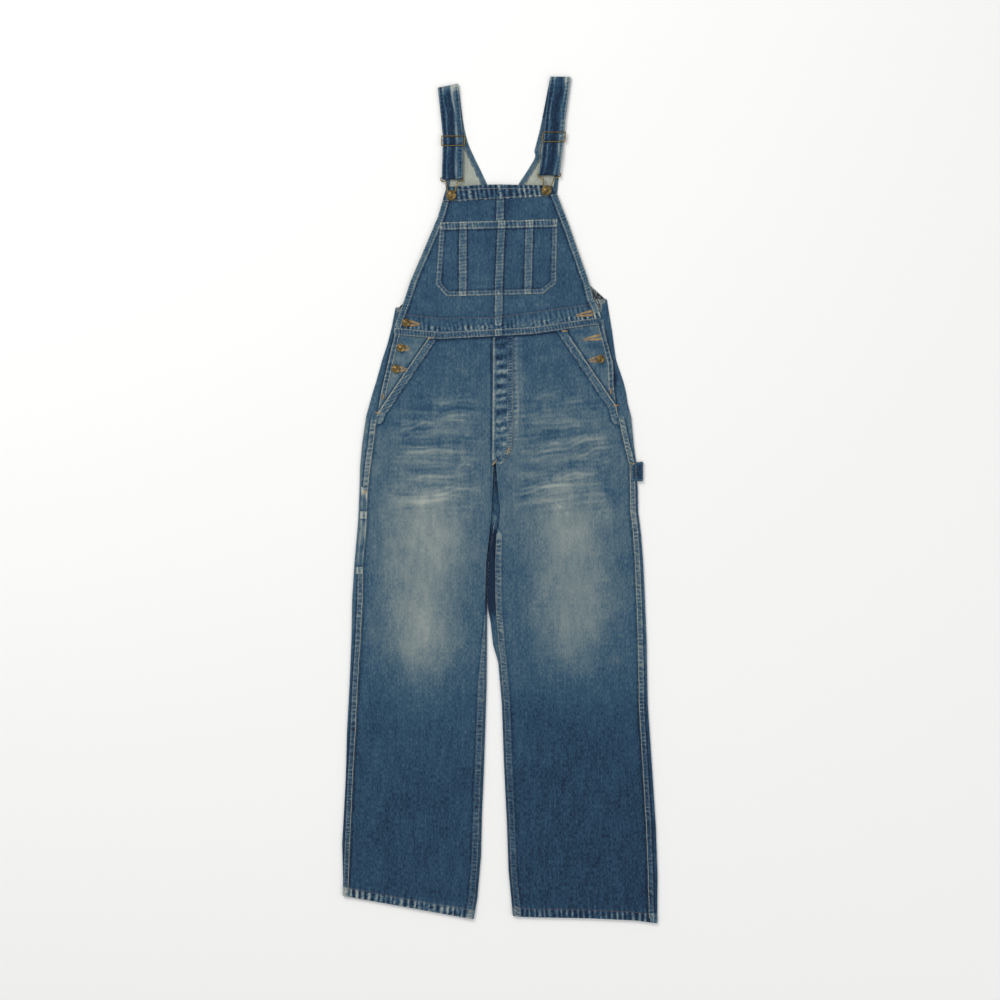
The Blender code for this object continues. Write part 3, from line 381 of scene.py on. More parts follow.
def near_line(line, x, y):
    """Signed distance to a line of points, left of its run positive, and the length along it there."""
    line = np.asarray(line, dtype=float)
    x, y = np.broadcast_arrays(np.asarray(x, dtype=float), np.asarray(y, dtype=float))
    best = np.full(x.shape, 1e9)
    signed = np.full(x.shape, 1e9)
    run = np.zeros(x.shape)
    gone = 0.0
    for (start_x, start_y), (end_x, end_y) in zip(line[:-1], line[1:]):
        step_x, step_y = end_x - start_x, end_y - start_y
        length = math.hypot(step_x, step_y)
        part = np.clip(((x - start_x) * step_x + (y - start_y) * step_y) / length ** 2, 0.0, 1.0)
        off_x, off_y = x - start_x - part * step_x, y - start_y - part * step_y
        distance = np.hypot(off_x, off_y)
        nearer = distance < best
        best = np.where(nearer, distance, best)
        signed = np.where(nearer, np.copysign(distance, step_x * off_y - step_y * off_x), signed)
        run = np.where(nearer, gone + part * length, run)
        gone += length
    return signed, run


waist_y = column(WAIST_SEAM, 0, 1)


def slant_rows(nominal, x, hem):
    """Rows below SLANT_START lean over evenly until the last one is the hem."""
    share = np.clip((SLANT_START - nominal) / (SLANT_START - HEM_NOMINAL), 0.0, 1.0)
    slanted = SLANT_START + share * (column(hem, 0, 1)(x) - SLANT_START)
    return np.where(nominal < SLANT_START, slanted, nominal)


def back_top_y(x):
    """Line where the back legs end and the back bib starts."""
    return 337.5 + 14.9 * (x + 182.6) / 369.2


def whisker_field(x, y, gain=1.0):
    """Sum of the whiskers: each a bell across a bowed line, faded to both ends, finer ones beside it."""
    total = np.zeros(np.broadcast(x, y).shape)
    for start_x, start_y, end_x, end_y, half_width, strength in WHISKERS:
        length = math.hypot(end_x - start_x, end_y - start_y)
        along = ((x - start_x) * (end_x - start_x) + (y - start_y) * (end_y - start_y)) / length ** 2
        bow = 3.0 * np.sin(math.pi * np.clip(along, 0, 1)) + 1.5 * np.sin(along * 9.0 + start_x)
        across = ((y - start_y) * (end_x - start_x) - (x - start_x) * (end_y - start_y)) / length - bow
        taper = between(along, -0.12, 1.15, 0.34, 0.40)
        fine = 0.6 * bump(across, 7.5 + 2.0 * along, 1.7) + 0.5 * bump(across, -8.0, 1.5)
        lines = bump(across, 0.0, 0.75 * half_width) + fine
        total = total + WHISKER_GAIN * gain * strength * taper * lines
    return total


def lie(x, y):
    """Height of the front layer's underside: the solids' folds, then finer creases and whiskers."""
    hip = ease(y, 60.0, 135.0)
    total = np.zeros(np.broadcast(x, y).shape)
    for middle_x, middle_y, degrees, half_length, half_width, height in FOLDS:
        angle = math.radians(degrees)
        along = (x - middle_x) * math.cos(angle) + (y - middle_y) * math.sin(angle)
        across = (y - middle_y) * math.cos(angle) - (x - middle_x) * math.sin(angle)
        total = total + height * np.exp(-(along / half_length) ** 2 - (across / half_width) ** 2)
    return LEG_LIE + (HIP_LIE - LEG_LIE) * hip + (1 - hip) * total + creases(x, y)


def creases(x, y):
    """Broad soft unevenness everywhere, more on the legs, with the whiskers standing up a little."""
    legs = 1 - ease(y, 40.0, 300.0)
    broad = 0.16 * cloud(x, y, 46.0, 70.0, 11) + 0.10 * cloud(x, y, 19.0, 27.0, 12)
    return broad * (0.5 + 1.1 * legs) + whisker_field(x, y, 0.9)


def wash_and_shade_at(x, y):
    """How pale the cloth is at a place: washed out down the garment, in fades, whiskers and mottling, and
    darker in the painted shade patches of FADES_AND_SHADE.
    """
    wash_and_shade = column(WASH_DOWN, 0, 1)(y) - 0.06 * ease(x, -20.0, 60.0) * ease(-y, 300.0, 380.0)
    edge = 1 + 0.22 * cloud(x, y, 24.0, 34.0, 21) + 0.10 * cloud(x, y, 9.0, 13.0, 22)
    for middle_x, middle_y, half_width, half_height, gain in FADES_AND_SHADE:
        reach = ((x - middle_x) / half_width) ** 2 + ((y - middle_y) / half_height) ** 2
        wash_and_shade = wash_and_shade + gain * np.exp(-(reach * edge) ** 1.25)
    mottle = 0.055 * cloud(x, y, 30.0, 42.0, 23) + 0.06 * cloud(x, y, 7.0, 16.0, 24)
    mottle = mottle + 0.05 * cloud(x + 0.4 * y, y, 15.0, 11.0, 25) * ease(y, -60.0, 60.0)
    tilted = y - np.where(x > 0, 0.11, -0.02) * x
    hips = between(y, -45.0, 205.0, 50.0, 55.0) * between(np.abs(x), 24.0, 205.0, 24.0, 40.0)
    drawn = cloud(x, tilted, 58.0, 4.4, 26) + 0.6 * cloud(x, tilted, 26.0, 2.6, 27)
    streaks = 0.125 * hips * drawn
    return wash_and_shade + mottle + streaks + whisker_field(x, y)


# What a band is unless told otherwise. In relief: how far it stands up, and how strong the puckers
# beside it are. In colour: worn pale edges, the rope's lumps, a tone all over, the dark line just
# outside (a painted shadow), lumps that fade out beside it, and how long a calm stretch each end has
BAND = {"rise": SEAM_RISE, "pucker": 0.25, "pale": 0.2, "chunk": 0.24, "tone": 0.0, "dark": 0.16,
        "fringe": 0.05, "ends": 0.0}
FLAT = {"rise": 0.0, "pucker": 0.0, "pale": 0.0}


def band(line, low, high, pitch, seed, **changes):
    """A seam or hem beside a line: from low to high, signed distances left of its run."""
    place = {"line": np.asarray(line, dtype=float), "low": low, "high": high}
    return {**place, "pitch": pitch, "seed": seed, **BAND, **changes}


def flat_band(line, low, high, pitch, seed, **changes):
    """A band that only colours the cloth, by wear and its painted shadow line: no ridge, nor puckers or pale
    edges unless given.
    """
    return band(line, low, high, pitch, seed, **{**FLAT, **changes})


def seam_place(seam, x, y):
    """Where a place is by a seam: distance left of its line, run along it, way outside it, rope there."""
    signed, run = near_line(seam["line"], x, y)
    beside = np.maximum(seam["low"] - signed, signed - seam["high"])
    return signed, run, beside, ticks(run, signed, seam["pitch"], seam["seed"])


def band_relief(bands, x, y):
    """Height that seams add: a flat-topped ridge, roped along its run, and puckers fading out beside it."""
    total = np.zeros(np.broadcast(x, y).shape)
    for seam in bands:
        signed, _, beside, rope = seam_place(seam, x, y)
        inside = between(signed, seam["low"] - 0.9, seam["high"] + 0.9, 1.4)
        puckers = seam["pucker"] * rope * bump(np.clip(beside, 0, None), 0.0, 6.0)
        total = total + inside * (seam["rise"] + 0.16 * rope) + puckers * (1 - inside)
    return total


def band_wear_and_shadow(bands, x, y):
    """Colour of seams: worn pale on both edges, pale and dark lumps between, and a painted shadow line just
    outside.
    """
    total = np.zeros(np.broadcast(x, y).shape)
    for seam in bands:
        signed, run, beside, rope = seam_place(seam, x, y)
        low, high = seam["low"], seam["high"]
        inside = between(signed, low - 0.6, high + 0.6, 1.2)
        core = between(signed, low + 0.6, high - 0.6, 1.8)
        fine = cloud(run, signed, 3.0, 2.6, 31)
        calm = 0.0
        if seam["ends"]:
            from_end = np.minimum(run, gone_along(seam["line"])[-1] - run)
            calm = 1 - ease(from_end, seam["ends"] - 1.5, seam["ends"] + 1.5)
        rope = rope * (1 - 0.85 * calm)
        fine = fine * (1 - 0.7 * calm)
        edges = bump(signed, low + 0.6, 1.0) + bump(signed, high - 0.6, 1.0)
        total = total + 0.34 * calm * inside + inside * seam["tone"]
        total = total + 1.75 * seam["pale"] * edges * (0.85 + 0.3 * rope + 0.5 * fine)
        total = total + core * seam["chunk"] * (1.7 * rope + 1.1 * fine)
        # Painted shadow: a dark line just outside the band and a broad soft one beside it, for the shade its
        # edge casts
        total = total - 2.6 * seam["dark"] * bump(beside, 1.6, 1.5) * (1 - 0.3 * fine)
        total = total - 0.4 * seam["dark"] * bump(beside, 3.0, 4.0) * (1 - inside)
        total = total + seam["fringe"] * (0.4 + rope) * bump(np.clip(beside, 0, None), 0.0, 7.0)
    return total


# Meshes

def new_mesh(name, points, quads, materials, face_slots=None, wash_and_shade=None, grain=None, sharp=50.0):
    """One mesh object from arrays of points in millimetres and four-sided faces."""
    mesh = bpy.data.meshes.new(name)
    mesh.vertices.add(len(points))
    mesh.vertices.foreach_set("co", (points * MM).astype(np.float32).ravel())
    mesh.loops.add(quads.size)
    mesh.loops.foreach_set("vertex_index", quads.astype(np.int32).ravel())
    mesh.polygons.add(len(quads))
    mesh.polygons.foreach_set("loop_start", np.arange(len(quads), dtype=np.int32) * 4)
    mesh.update(calc_edges=True)
    for material in materials:
        mesh.materials.append(material)
    if face_slots is not None:
        mesh.polygons.foreach_set("material_index", face_slots.astype(np.int32))
    if wash_and_shade is not None:
        layer = mesh.attributes.new("wash_and_shade", "FLOAT", "POINT")
        layer.data.foreach_set("value", wash_and_shade.astype(np.float32))
    if grain is not None:
        layer = mesh.uv_layers.new(name="grain")
        layer.data.foreach_set("uv", (grain[quads.ravel()] * MM).astype(np.float32).ravel())
    mesh.validate()
    mesh.shade_smooth()
    mesh.set_sharp_from_angle(angle=math.radians(sharp))
    made = bpy.data.objects.new(name, mesh)
    bpy.context.scene.collection.objects.link(made)
    return made


def volume_sign(points, quads):
    """Positive when the closed mesh's faces point out: the sum of signed volumes to the origin."""
    corner = points[quads]
    first = np.einsum("ij,ij->i", corner[:, 0], np.cross(corner[:, 1], corner[:, 2]))
    second = np.einsum("ij,ij->i", corner[:, 0], np.cross(corner[:, 2], corner[:, 3]))
    return np.sign((first + second).sum())


def shell(name, under, over, materials, wash_and_shade, grain, over_slots=None, under_slot=1, under_wash_and_shade=0.5):
    """Cloth between two grids of points: its face, its wrong side and the cut edge all round."""
    rows, columns = under.shape[:2]
    index = np.arange(rows * columns).reshape(rows, columns)
    quads = quads_of(index)
    shift = rows * columns
    rim = np.concatenate([index[0, :], index[1:, -1], index[-1, -2::-1], index[-2:0:-1, 0]])
    ahead = np.roll(rim, -1)
    sides = np.stack([rim, ahead, ahead + shift, rim + shift], axis=-1)
    faces = np.concatenate([quads[:, ::-1], quads + shift, sides])
    points = np.concatenate([under.reshape(-1, 3), over.reshape(-1, 3)])
    centred = points - points.mean(axis=0)
    if volume_sign(centred, faces) < 0:
        faces = faces[:, ::-1]
    count = len(quads)
    face_slots = np.zeros(len(faces), dtype=int)
    face_slots[:count] = np.ravel(under_slot) if np.ndim(under_slot) else under_slot
    if over_slots is not None:
        face_slots[count:2 * count] = over_slots.ravel()
    both_wash_and_shade = np.concatenate([np.broadcast_to(under_wash_and_shade, under.shape[:2]).ravel(), wash_and_shade.ravel()])
    both_grain = np.concatenate([grain.reshape(-1, 2), grain.reshape(-1, 2)])
    return new_mesh(name, points, faces, materials, face_slots, both_wash_and_shade, both_grain)


# A turned edge rounds off over this width and sinks by this much at its very end
EDGE_ROUND = 1.5
EDGE_SINK = 0.5


def steps_between(start, end, pitch):
    """Places from start to end about a pitch apart, closer at both ends so that the edge can round."""
    count = max(3, int(round((end - start) / pitch)))
    inner = np.linspace(start + EDGE_ROUND, end - EDGE_ROUND, count)
    return np.concatenate([[start, start + EDGE_SINK], inner, [end - EDGE_SINK, end]])


def shares(length, pitch):
    """Places from 0 to 1 over a length, by steps_between."""
    return steps_between(0.0, length, pitch) / length


def edge_drop(distance):
    """How far a turned edge sinks, by its distance in: EDGE_SINK * (1 - distance / EDGE_ROUND)^2."""
    return EDGE_SINK * (1 - np.clip(distance / EDGE_ROUND, 0.0, 1.0)) ** 2


# Height of each panel's face as a formula of x and y, for what is sewn on it
FACES = {}
EDGE_PALE = 0.22


def level_at(height):
    """A height formula for places on the page that gives the same height everywhere."""
    return lambda x, y: np.full(np.broadcast(x, y).shape, height)


NO_RELIEF = level_at(0.0)


def laid_panel(name, page_x, page_y, bands, tone_shift=0.0, follow=lie, extra=NO_RELIEF,
               slots=("face", "wrong"), over_slots=None):
    """A panel laid on the page: its underside follows the layer below, its face adds seams and edges."""
    def face_height(x, y):
        """Height of the face: layer below + cloth + seams + the panel's own relief."""
        return follow(x, y) + CLOTH + band_relief(bands, x, y) + extra(x, y)

    FACES[name] = face_height
    across = gone_over(page_x, page_y, 1)
    down = gone_over(page_x, page_y, 0)
    side_gap = np.minimum(across, across[:, -1:] - across)
    end_gap = np.minimum(down, down[-1:, :] - down)
    nearest = np.minimum(side_gap, end_gap)
    wash_and_shade = wash_and_shade_at(page_x, page_y) + tone_shift + band_wear_and_shadow(bands, page_x, page_y)
    wash_and_shade = wash_and_shade + EDGE_PALE * bump(nearest, 0.0, 1.2)
    under = np.stack([page_x, page_y, follow(page_x, page_y)], axis=-1)
    over = np.stack([page_x, page_y, face_height(page_x, page_y) - edge_drop(nearest)], axis=-1)
    grain = np.stack([page_x, page_y], axis=-1)
    return shell(name, under, over, [CLOTHS[slot] for slot in slots], wash_and_shade, grain, over_slots)


# Materials

def colour(code):
    """A linear colour from an sRGB hex code."""
    parts = [int(code[place:place + 2], 16) / 255 for place in (0, 2, 4)]
    linear = [part / 12.92 if part <= 0.04045 else ((part + 0.055) / 1.055) ** 2.4 for part in parts]
    return (*linear, 1.0)


def node(tree, kind, inputs=None, **properties):
    """One shader node: properties set on it, and each input linked from a socket or given a constant."""
    made = tree.nodes.new(kind)
    for name, value in properties.items():
        setattr(made, name, value)
    for socket, value in (inputs or {}).items():
        if isinstance(value, bpy.types.NodeSocket):
            tree.links.new(value, made.inputs[socket])
        else:
            made.inputs[socket].default_value = value
    return made


def sums(tree, *terms):
    """Sum of products: each term is a socket or number times a number."""
    total = None
    for value, factor in terms:
        part = node(tree, "ShaderNodeMath", {0: value, 1: factor}, operation="MULTIPLY").outputs[0]
        total = part if total is None else node(tree, "ShaderNodeMath", {0: total, 1: part}).outputs[0]
    return total


def speckle(tree, vector, across, along, detail=1.0):
    """Noise about zero whose grains have these sizes in millimetres, along the vector's X and Y."""
    size = (1000.0 / across, 1000.0 / along, 1000.0 / across)
    scaled = node(tree, "ShaderNodeVectorMath", {0: vector, 1: size}, operation="MULTIPLY").outputs[0]
    noise = node(tree, "ShaderNodeTexNoise", {"Vector": scaled, "Scale": 1.0, "Detail": detail})
    return node(tree, "ShaderNodeMath", {0: noise.outputs["Fac"], 1: -0.5}).outputs[0]


def ramp(tree, value, stops):
    """A colour ramp from places and hex codes, read at a value."""
    made = node(tree, "ShaderNodeValToRGB", {"Fac": value})
    elements = made.color_ramp.elements
    while len(elements) < len(stops):
        elements.new(0.5)
    for element, (place, code) in zip(elements, stops):
        element.position = place
        element.color = colour(code)
    return made.outputs["Color"]


def start_material(name):
    """An empty material with its output and principled shader."""
    material = bpy.data.materials.new(name)
    material.use_nodes = True
    tree = material.node_tree
    tree.nodes.clear()
    skin = node(tree, "ShaderNodeBsdfPrincipled")
    node(tree, "ShaderNodeOutputMaterial", {"Surface": skin.outputs["BSDF"]})
    return material, tree, skin


def finish_material(tree, skin, shade, rough, height, metal=0.0, sheen=0.0, specular=0.5):
    """Connect colour, roughness and a bump whose height is in metres."""
    bump = node(tree, "ShaderNodeBump", {"Height": height, "Distance": 1.0, "Strength": 1.0})
    tree.links.new(shade, skin.inputs["Base Color"])
    tree.links.new(bump.outputs["Normal"], skin.inputs["Normal"])
    if isinstance(rough, bpy.types.NodeSocket):
        tree.links.new(rough, skin.inputs["Roughness"])
    else:
        skin.inputs["Roughness"].default_value = rough
    skin.inputs["Metallic"].default_value = metal
    skin.inputs["Sheen Weight"].default_value = sheen
    skin.inputs["Specular IOR Level"].default_value = specular


def twill(tree, vector, pitch):
    """Diagonal ribs at 63 degrees across the grain, from -1 to 1, of that pitch in millimetres."""
    turn = 2000.0 * math.pi / pitch
    slope = node(tree, "ShaderNodeVectorMath", {0: vector, 1: (0.894 * turn, -0.447 * turn, 0.0)},
                 operation="DOT_PRODUCT").outputs["Value"]
    return node(tree, "ShaderNodeMath", {0: slope}, operation="SINE").outputs[0]


def make_denim(name, stops, lift, mottle):
    """Washed cotton denim.

    Long warp streaks and short flecks of undyed weft break the indigo up, less where it is worn
    pale, the wash_and_shade carried on the mesh, its wear and painted shade, runs it from raw to
    nearly white, and a fine diagonal twill gives the nap its grain.
    """
    material, tree, skin = start_material(name)
    grain = node(tree, "ShaderNodeUVMap", uv_map="grain").outputs["UV"]
    wash_and_shade = node(tree, "ShaderNodeAttribute", attribute_name="wash_and_shade").outputs["Fac"]
    streak = speckle(tree, grain, 1.3, 26.0)
    broad = speckle(tree, grain, 4.5, 60.0)
    fleck = speckle(tree, grain, 1.5, 2.2, 2.0)
    blotch = speckle(tree, grain, 2.8, 6.5, 2.0)
    ribs = twill(tree, grain, 1.1)
    grains = sums(tree, (streak, mottle * 2.4), (broad, mottle * 2.0), (fleck, mottle * 4.6),
                  (blotch, mottle * 7.0))
    strength = sums(tree, (wash_and_shade, -1.15), (1.55, 1.0))
    uneven = node(tree, "ShaderNodeMath", {0: grains, 1: strength}, operation="MULTIPLY").outputs[0]
    level = sums(tree, (wash_and_shade, 0.8), (lift, 1.0), (uneven, 1.0), (ribs, 0.012))
    height = sums(tree, (streak, 0.00010), (fleck, 0.00016), (blotch, 0.00012), (ribs, 0.00003))
    finish_material(tree, skin, ramp(tree, level, stops), 0.9, height, sheen=0.03, specular=0.12)
    return material


def make_thread(name, dark, pale):
    """Sewing thread: faded unevenly from stitch to stitch, with the fine ply twisted round it."""
    material, tree, skin = start_material(name)
    place = node(tree, "ShaderNodeTexCoord").outputs["Object"]
    worn = sums(tree, (speckle(tree, place, 9.0, 9.0), 1.3), (speckle(tree, place, 1.6, 1.6), 0.9),
                (0.5, 1.0))
    ply = sums(tree, (twill(tree, place, 0.5), 0.00004))
    finish_material(tree, skin, ramp(tree, worn, [(0.1, dark), (0.9, pale)]), 0.75, ply, sheen=0.1)
    return material


def make_brass(name, stops, rough_low, rough_high):
    """Old brass: darker and duller where it tarnished, brighter and smoother where cloth rubbed it."""
    material, tree, skin = start_material(name)
    place = node(tree, "ShaderNodeTexCoord").outputs["Object"]
    stains = speckle(tree, place, 3.5, 3.5, 3.0)
    tarnish = sums(tree, (stains, 1.5), (speckle(tree, place, 0.9, 0.9), 0.5), (0.5, 1.0))
    rough = node(tree, "ShaderNodeMapRange", {"Value": tarnish, "To Min": rough_high, "To Max": rough_low})
    pits = sums(tree, (speckle(tree, place, 0.7, 0.7), 0.00004))
    finish_material(tree, skin, ramp(tree, tarnish, stops), rough.outputs[0], pits, metal=0.9)
    return material


# From raw indigo to worn nearly white, in the order that washing reaches them
INDIGO = [
    (0.0, "1a2a3f"), (0.2, "27425a"), (0.4, "365369"), (0.6, "586d78"), (0.8, "7d898a"), (1.0, "a0a7a1"),
]
WRONG_SIDE = [(0.0, "23292f"), (0.3, "6f777b"), (0.5, "8f9692"), (0.7, "a0a59a"), (1.0, "b6b8aa")]
CLOTHS = {
    "face": make_denim("indigo denim, right side", INDIGO, 0.0, 0.085),
    "wrong": make_denim("indigo denim, wrong side", WRONG_SIDE, 0.3, 0.09),
}
THREADS = {
    "ecru": make_thread("faded ecru cotton thread", "8c8776", "bdb6a2"),
    "brown": make_thread("faded brown cotton thread", "54484a", "7d6a60"),
    "dark": make_thread("dark brown cotton thread", "3f3642", "665560"),
    "gold": make_thread("gold cotton thread", "6f5a3a", "b4976a"),
}
BRASS = {
    "button": make_brass("antique brass, pressed",
                         [(0.1, "42361f"), (0.5, "6a5937"), (0.9, "a48e5e")], 0.3, 0.55),
    "wire": make_brass("antique brass wire",
                       [(0.1, "4a3f27"), (0.5, "7c6a3f"), (0.9, "b39d66")], 0.28, 0.5),
}


# Lines of the legs, run so that each panel lies left of its own edges

def leg_line(leg, key, upward):
    """One of a leg's long edges as points, run up or down the page."""
    line = np.stack([leg[:, key], leg[:, 0]], axis=1)
    return line[::-1] if upward else line


RIGHT_OUTSEAM = leg_line(RIGHT_LEG, 2, False)
LEFT_OUTSEAM = leg_line(LEFT_LEG, 2, True)
RIGHT_INSEAM = leg_line(RIGHT_LEG, 3, True)
LEFT_INSEAM = leg_line(LEFT_LEG, 3, False)
# The right leg's inseam comes out from under its edge below y -185, the left leg's below the crotch
RIGHT_INSEAM_BELOW = RIGHT_INSEAM[RIGHT_INSEAM[:, 1] <= -110]
RIGHT_INSEAM_BELOW[:, 0] += 12.0 * np.clip((RIGHT_INSEAM_BELOW[:, 1] + 310.0) / 125.0, 0.0, 1.4)
LEFT_INSEAM_BELOW = np.concatenate([[(-22.0, -50.0), (-7.0, -64.0)], LEFT_INSEAM[LEFT_INSEAM[:, 1] <= -110]])

# Painted shadow on the fronts just below the waist seam: a dark line and nothing else
WAIST_SEAM_SHADOW = flat_band(WAIST_SEAM, -3.0, 14.0, 9.0, 34.0, chunk=0.0, dark=0.24, fringe=0.0)
FLY_SHADE = flat_band([(27.0, 288.0), (28.0, 100.0)], -5.0, 4.5, 8.5, 35.0, chunk=0.12, tone=0.06, dark=0.0)
HEM_BANDS = {
    -1: band(RIGHT_HEM, -0.5, HEM_DEPTH, 9.9, 4.0, pucker=0.45, pale=0.12, chunk=0.40, tone=0.12,
             dark=0.04, fringe=0.27, ends=HEM_END),
    1: band(LEFT_HEM, -0.5, HEM_DEPTH, 9.6, 8.0, pucker=0.45, pale=0.12, chunk=0.38, tone=-0.04,
            dark=0.06, fringe=0.26, ends=HEM_END),
}


def front_bands(mouth, outseam, inseam, pitches, seed, inseam_pale):
    """A front's seams: along the pocket mouth, beside the outseam and along the inseam."""
    return [
        band(mouth, -0.5, 13.0, pitches[0], seed, pucker=0.20, pale=0.24, chunk=0.12, tone=0.04),
        # Beside the outseam: puckers, and a painted shadow line where the back's felled strip laps over
        flat_band(outseam, -9.0, 0.0, pitches[1], seed + 1, pucker=0.30, chunk=0.0, dark=0.12),
        band(inseam, -0.5, INSEAM_BAND, pitches[2], seed + 2, pucker=0.20, pale=inseam_pale, chunk=0.20,
             tone=0.07, dark=0.08),
    ]


def outseam_band(outseam, pitch, seed):
    """The felled outseam on a back panel, run the other way from the front's."""
    return band(outseam[::-1], -0.5, FELLED, pitch, seed, pale=0.24, chunk=0.22, tone=0.06)


RIGHT_SEAMS = front_bands(RIGHT_MOUTH[::-1], RIGHT_OUTSEAM, RIGHT_INSEAM_BELOW, (5.2, 11.0, 5.0), 1.0, 0.15)
LEFT_SEAMS = front_bands(LEFT_MOUTH, LEFT_OUTSEAM, LEFT_INSEAM_BELOW, (5.4, 12.0, 4.8), 5.0, 0.14)
FRONT_BANDS = {
    -1: [WAIST_SEAM_SHADOW, *RIGHT_SEAMS, HEM_BANDS[-1]],
    1: [WAIST_SEAM_SHADOW, FLY_SHADE, *LEFT_SEAMS, HEM_BANDS[1]],
}
BACK_BANDS = {
    -1: [outseam_band(RIGHT_OUTSEAM, 5.6, 2.0), HEM_BANDS[-1]],
    1: [outseam_band(LEFT_OUTSEAM, 5.8, 6.0), HEM_BANDS[1]],
}
CENTRE_SEAM = np.array([(-2.9, 311.0), (-2.6, 330.0), (1.0, 552.5)])
CENTRE_ON_WAIST = np.array([(-3.2, 287.0), (-2.9, 311.0)])
WAIST_LINE = np.array([
    (-168.5, 324.5), (-105.0, 317.8), (-65.3, 319.0), (-10.5, 319.0), (57.8, 328.3), (131.3, 338.8),
    (160.0, 342.0),
])
WAIST_TEETH = WAIST_SEAM + [0.0, 11.5]
BIB_BAND_LOW = np.array([(-100.9, 521.0), (0.0, 526.8), (100.6, 532.3)])
BIB_BANDS = [
    band(BIB_RIGHT_EDGE, -0.5, BIB_HEM, 5.0, 9.0, pale=0.26, chunk=0.12, tone=0.10),
    band(BIB_LEFT_EDGE[::-1], -0.5, BIB_HEM, 5.2, 10.0, pale=0.26, chunk=0.12, tone=0.10),
    band(CENTRE_SEAM, -6.2, 6.2, 6.0, 11.0, rise=0.6, pale=0.26, chunk=0.08, tone=0.17),
    band(WAIST_LINE, -25.0, 0.5, 8.5, 23.0, rise=0.2, pucker=0.12, pale=0.05, chunk=0.10, tone=-0.05,
         dark=0.06),
    flat_band(WAIST_TEETH, -4.0, 8.0, 7.6, 28.0, chunk=0.30, tone=0.04, dark=0.0),
]


# Panels

# Radius across the page of a leg's inner fold
INNER_REACH = 1.6
# Widths of the back bib's folded hems, at the V and down the sides
V_HEM = 10.5
SIDE_HEM = 7.5
# How far a side placket lies inside its facing's edge
PLACKET_INSET = 0.4


def fine_rows(start, end, pitch):
    """Nominal rows down a panel from start to end, evenly spaced, closer at both ends."""
    return -steps_between(-start, -end, pitch)


def lean_up(rows, start, top, edge_y):
    """Rows above start lean over evenly until the top one lies on a slanted edge."""
    return rows + np.clip((rows - start) / (top - start), 0.0, 1.0) * (edge_y - top)


def add_front_leg(name, side, leg, mouth, hem):
    """A front panel, waist seam to hem, between the pocket mouth or outseam and the inseam."""
    rows = fine_rows(FRONT_TOP, HEM_NOMINAL, 2.8)[:, None]
    in_hip = rows > MOUTH_START
    outer = np.where(in_hip, column(mouth, 1, 0)(rows), column(leg, 0, 2)(rows)) - side * SEAM_GAP
    inner = np.where(in_hip, -10.2, column(leg, 0, 3)(rows)) + side * SEAM_GAP
    # Columns of a nominal 220 mm: close by both edges, where the seams are, and 3 mm apart between
    outboard = steps_between(0.0, 16.0, 1.3)[:-2]
    inboard = steps_between(206.0, 220.0, 1.3)[2:]
    share = np.concatenate([outboard, np.linspace(17.0, 205.0, 62), inboard])[None, :] / 220.0
    page_x = outer + (inner - outer) * share
    slanted = slant_rows(rows, page_x, hem)
    page_y = lean_up(slanted, FRONT_LEAN, FRONT_TOP, waist_y(page_x) - SEAM_GAP)
    return laid_panel(name, page_x, page_y, FRONT_BANDS[side])


def knee_creases(side, rows, x):
    """Creases behind the knee, from 0 to 1: waves across the leg, fading 90 mm up and down."""
    return bump(rows, -235.0, 90.0) * np.clip(wobble(rows + 0.25 * x, 21.0, side), 0, None)


def back_section(side, leg, fold, seam, rows):
    """Middle line of a back panel's cloth in every row, as x and z.

    From the seam over the top to the outer fold, round it, in along the floor, and round the inner
    fold up to the inseam. Above the crotch this last turn opens out flat: wrap is 0 there, 1 below.
    Also the number of points over the top, and where cloth heaps up at the crotch, from 0 to 1.
    """
    half = CLOTH / 2
    high = lie(seam, rows) + half
    flap = high + (FLAP_MID - high) * ease(rows, 147.0, 188.0)
    rise = (flap - half) / 2
    reach = np.minimum(2.2, 1.25 * rise + 0.5)
    centre = fold - side * (half + reach)
    share = np.concatenate([[0.0, 0.03], np.linspace(0.08, 1.0, 14)])[None, :]
    top_x = seam + (centre - seam) * share
    top_z = np.where(rows > MOUTH_START, flap, lie(top_x, rows) + half)
    top_z = top_z + (flap - top_z) * ease(share, 0.55, 1.0)
    turn = half_turn(80.0, -90.0)
    turn_x = centre + side * reach * np.cos(turn)
    turn_z = half + rise * (1 + np.sin(turn))

    inseam, inner = column(leg, 0, 3)(rows), column(leg, 0, 4)(rows)
    curl = half_turn(-90.0, 90.0)
    curl_x = inner + side * (half + INNER_REACH) - side * INNER_REACH * np.cos(curl)
    curl_z = half + lie(inseam, rows) / 2 * (1 + np.sin(curl))
    tail_x = np.concatenate([curl_x, inseam - side * SEAM_GAP], axis=1)
    tail_z = np.concatenate([curl_z, lie(inseam, rows) + half], axis=1)
    wrap = ease(-rows, 60.0, 110.0)
    flat_x = inner + side * np.linspace(6.0, 0.0, 10)[None, :]
    tail_x = flat_x + (tail_x - flat_x) * wrap
    tail_x = tail_x + inner + side * half * wrap - side * (tail_x * side).min(axis=1, keepdims=True)
    tail_z = half + (tail_z - half) * wrap

    inward = (np.arange(1, 46) / 46.0)[None, :]
    floor_x = centre + (tail_x[:, :1] - centre) * inward
    arch = 0.55 * np.clip(cloud(floor_x, rows, 40.0, 22.0, 41) - 0.15, 0, None)
    lifted = arch + 0.8 * knee_creases(side, rows, floor_x)
    floor_z = half + lifted * between(inward, 0.0, 1.0, 0.25)
    line_x = np.concatenate([top_x, turn_x, floor_x, tail_x], axis=1)
    line_z = np.concatenate([top_z, turn_z, floor_z, tail_z], axis=1)
    crotch = bump(line_x, -7.0, 9.0) * bump(rows, -18.0, 34.0) * (rows < 90.0)
    line_z = line_z + (2.0 + 0.5 * np.sin(rows / 6.0 + 0.4 * line_x)) * crotch * (1 - wrap)
    return line_x, line_z, top_x.shape[1], crotch


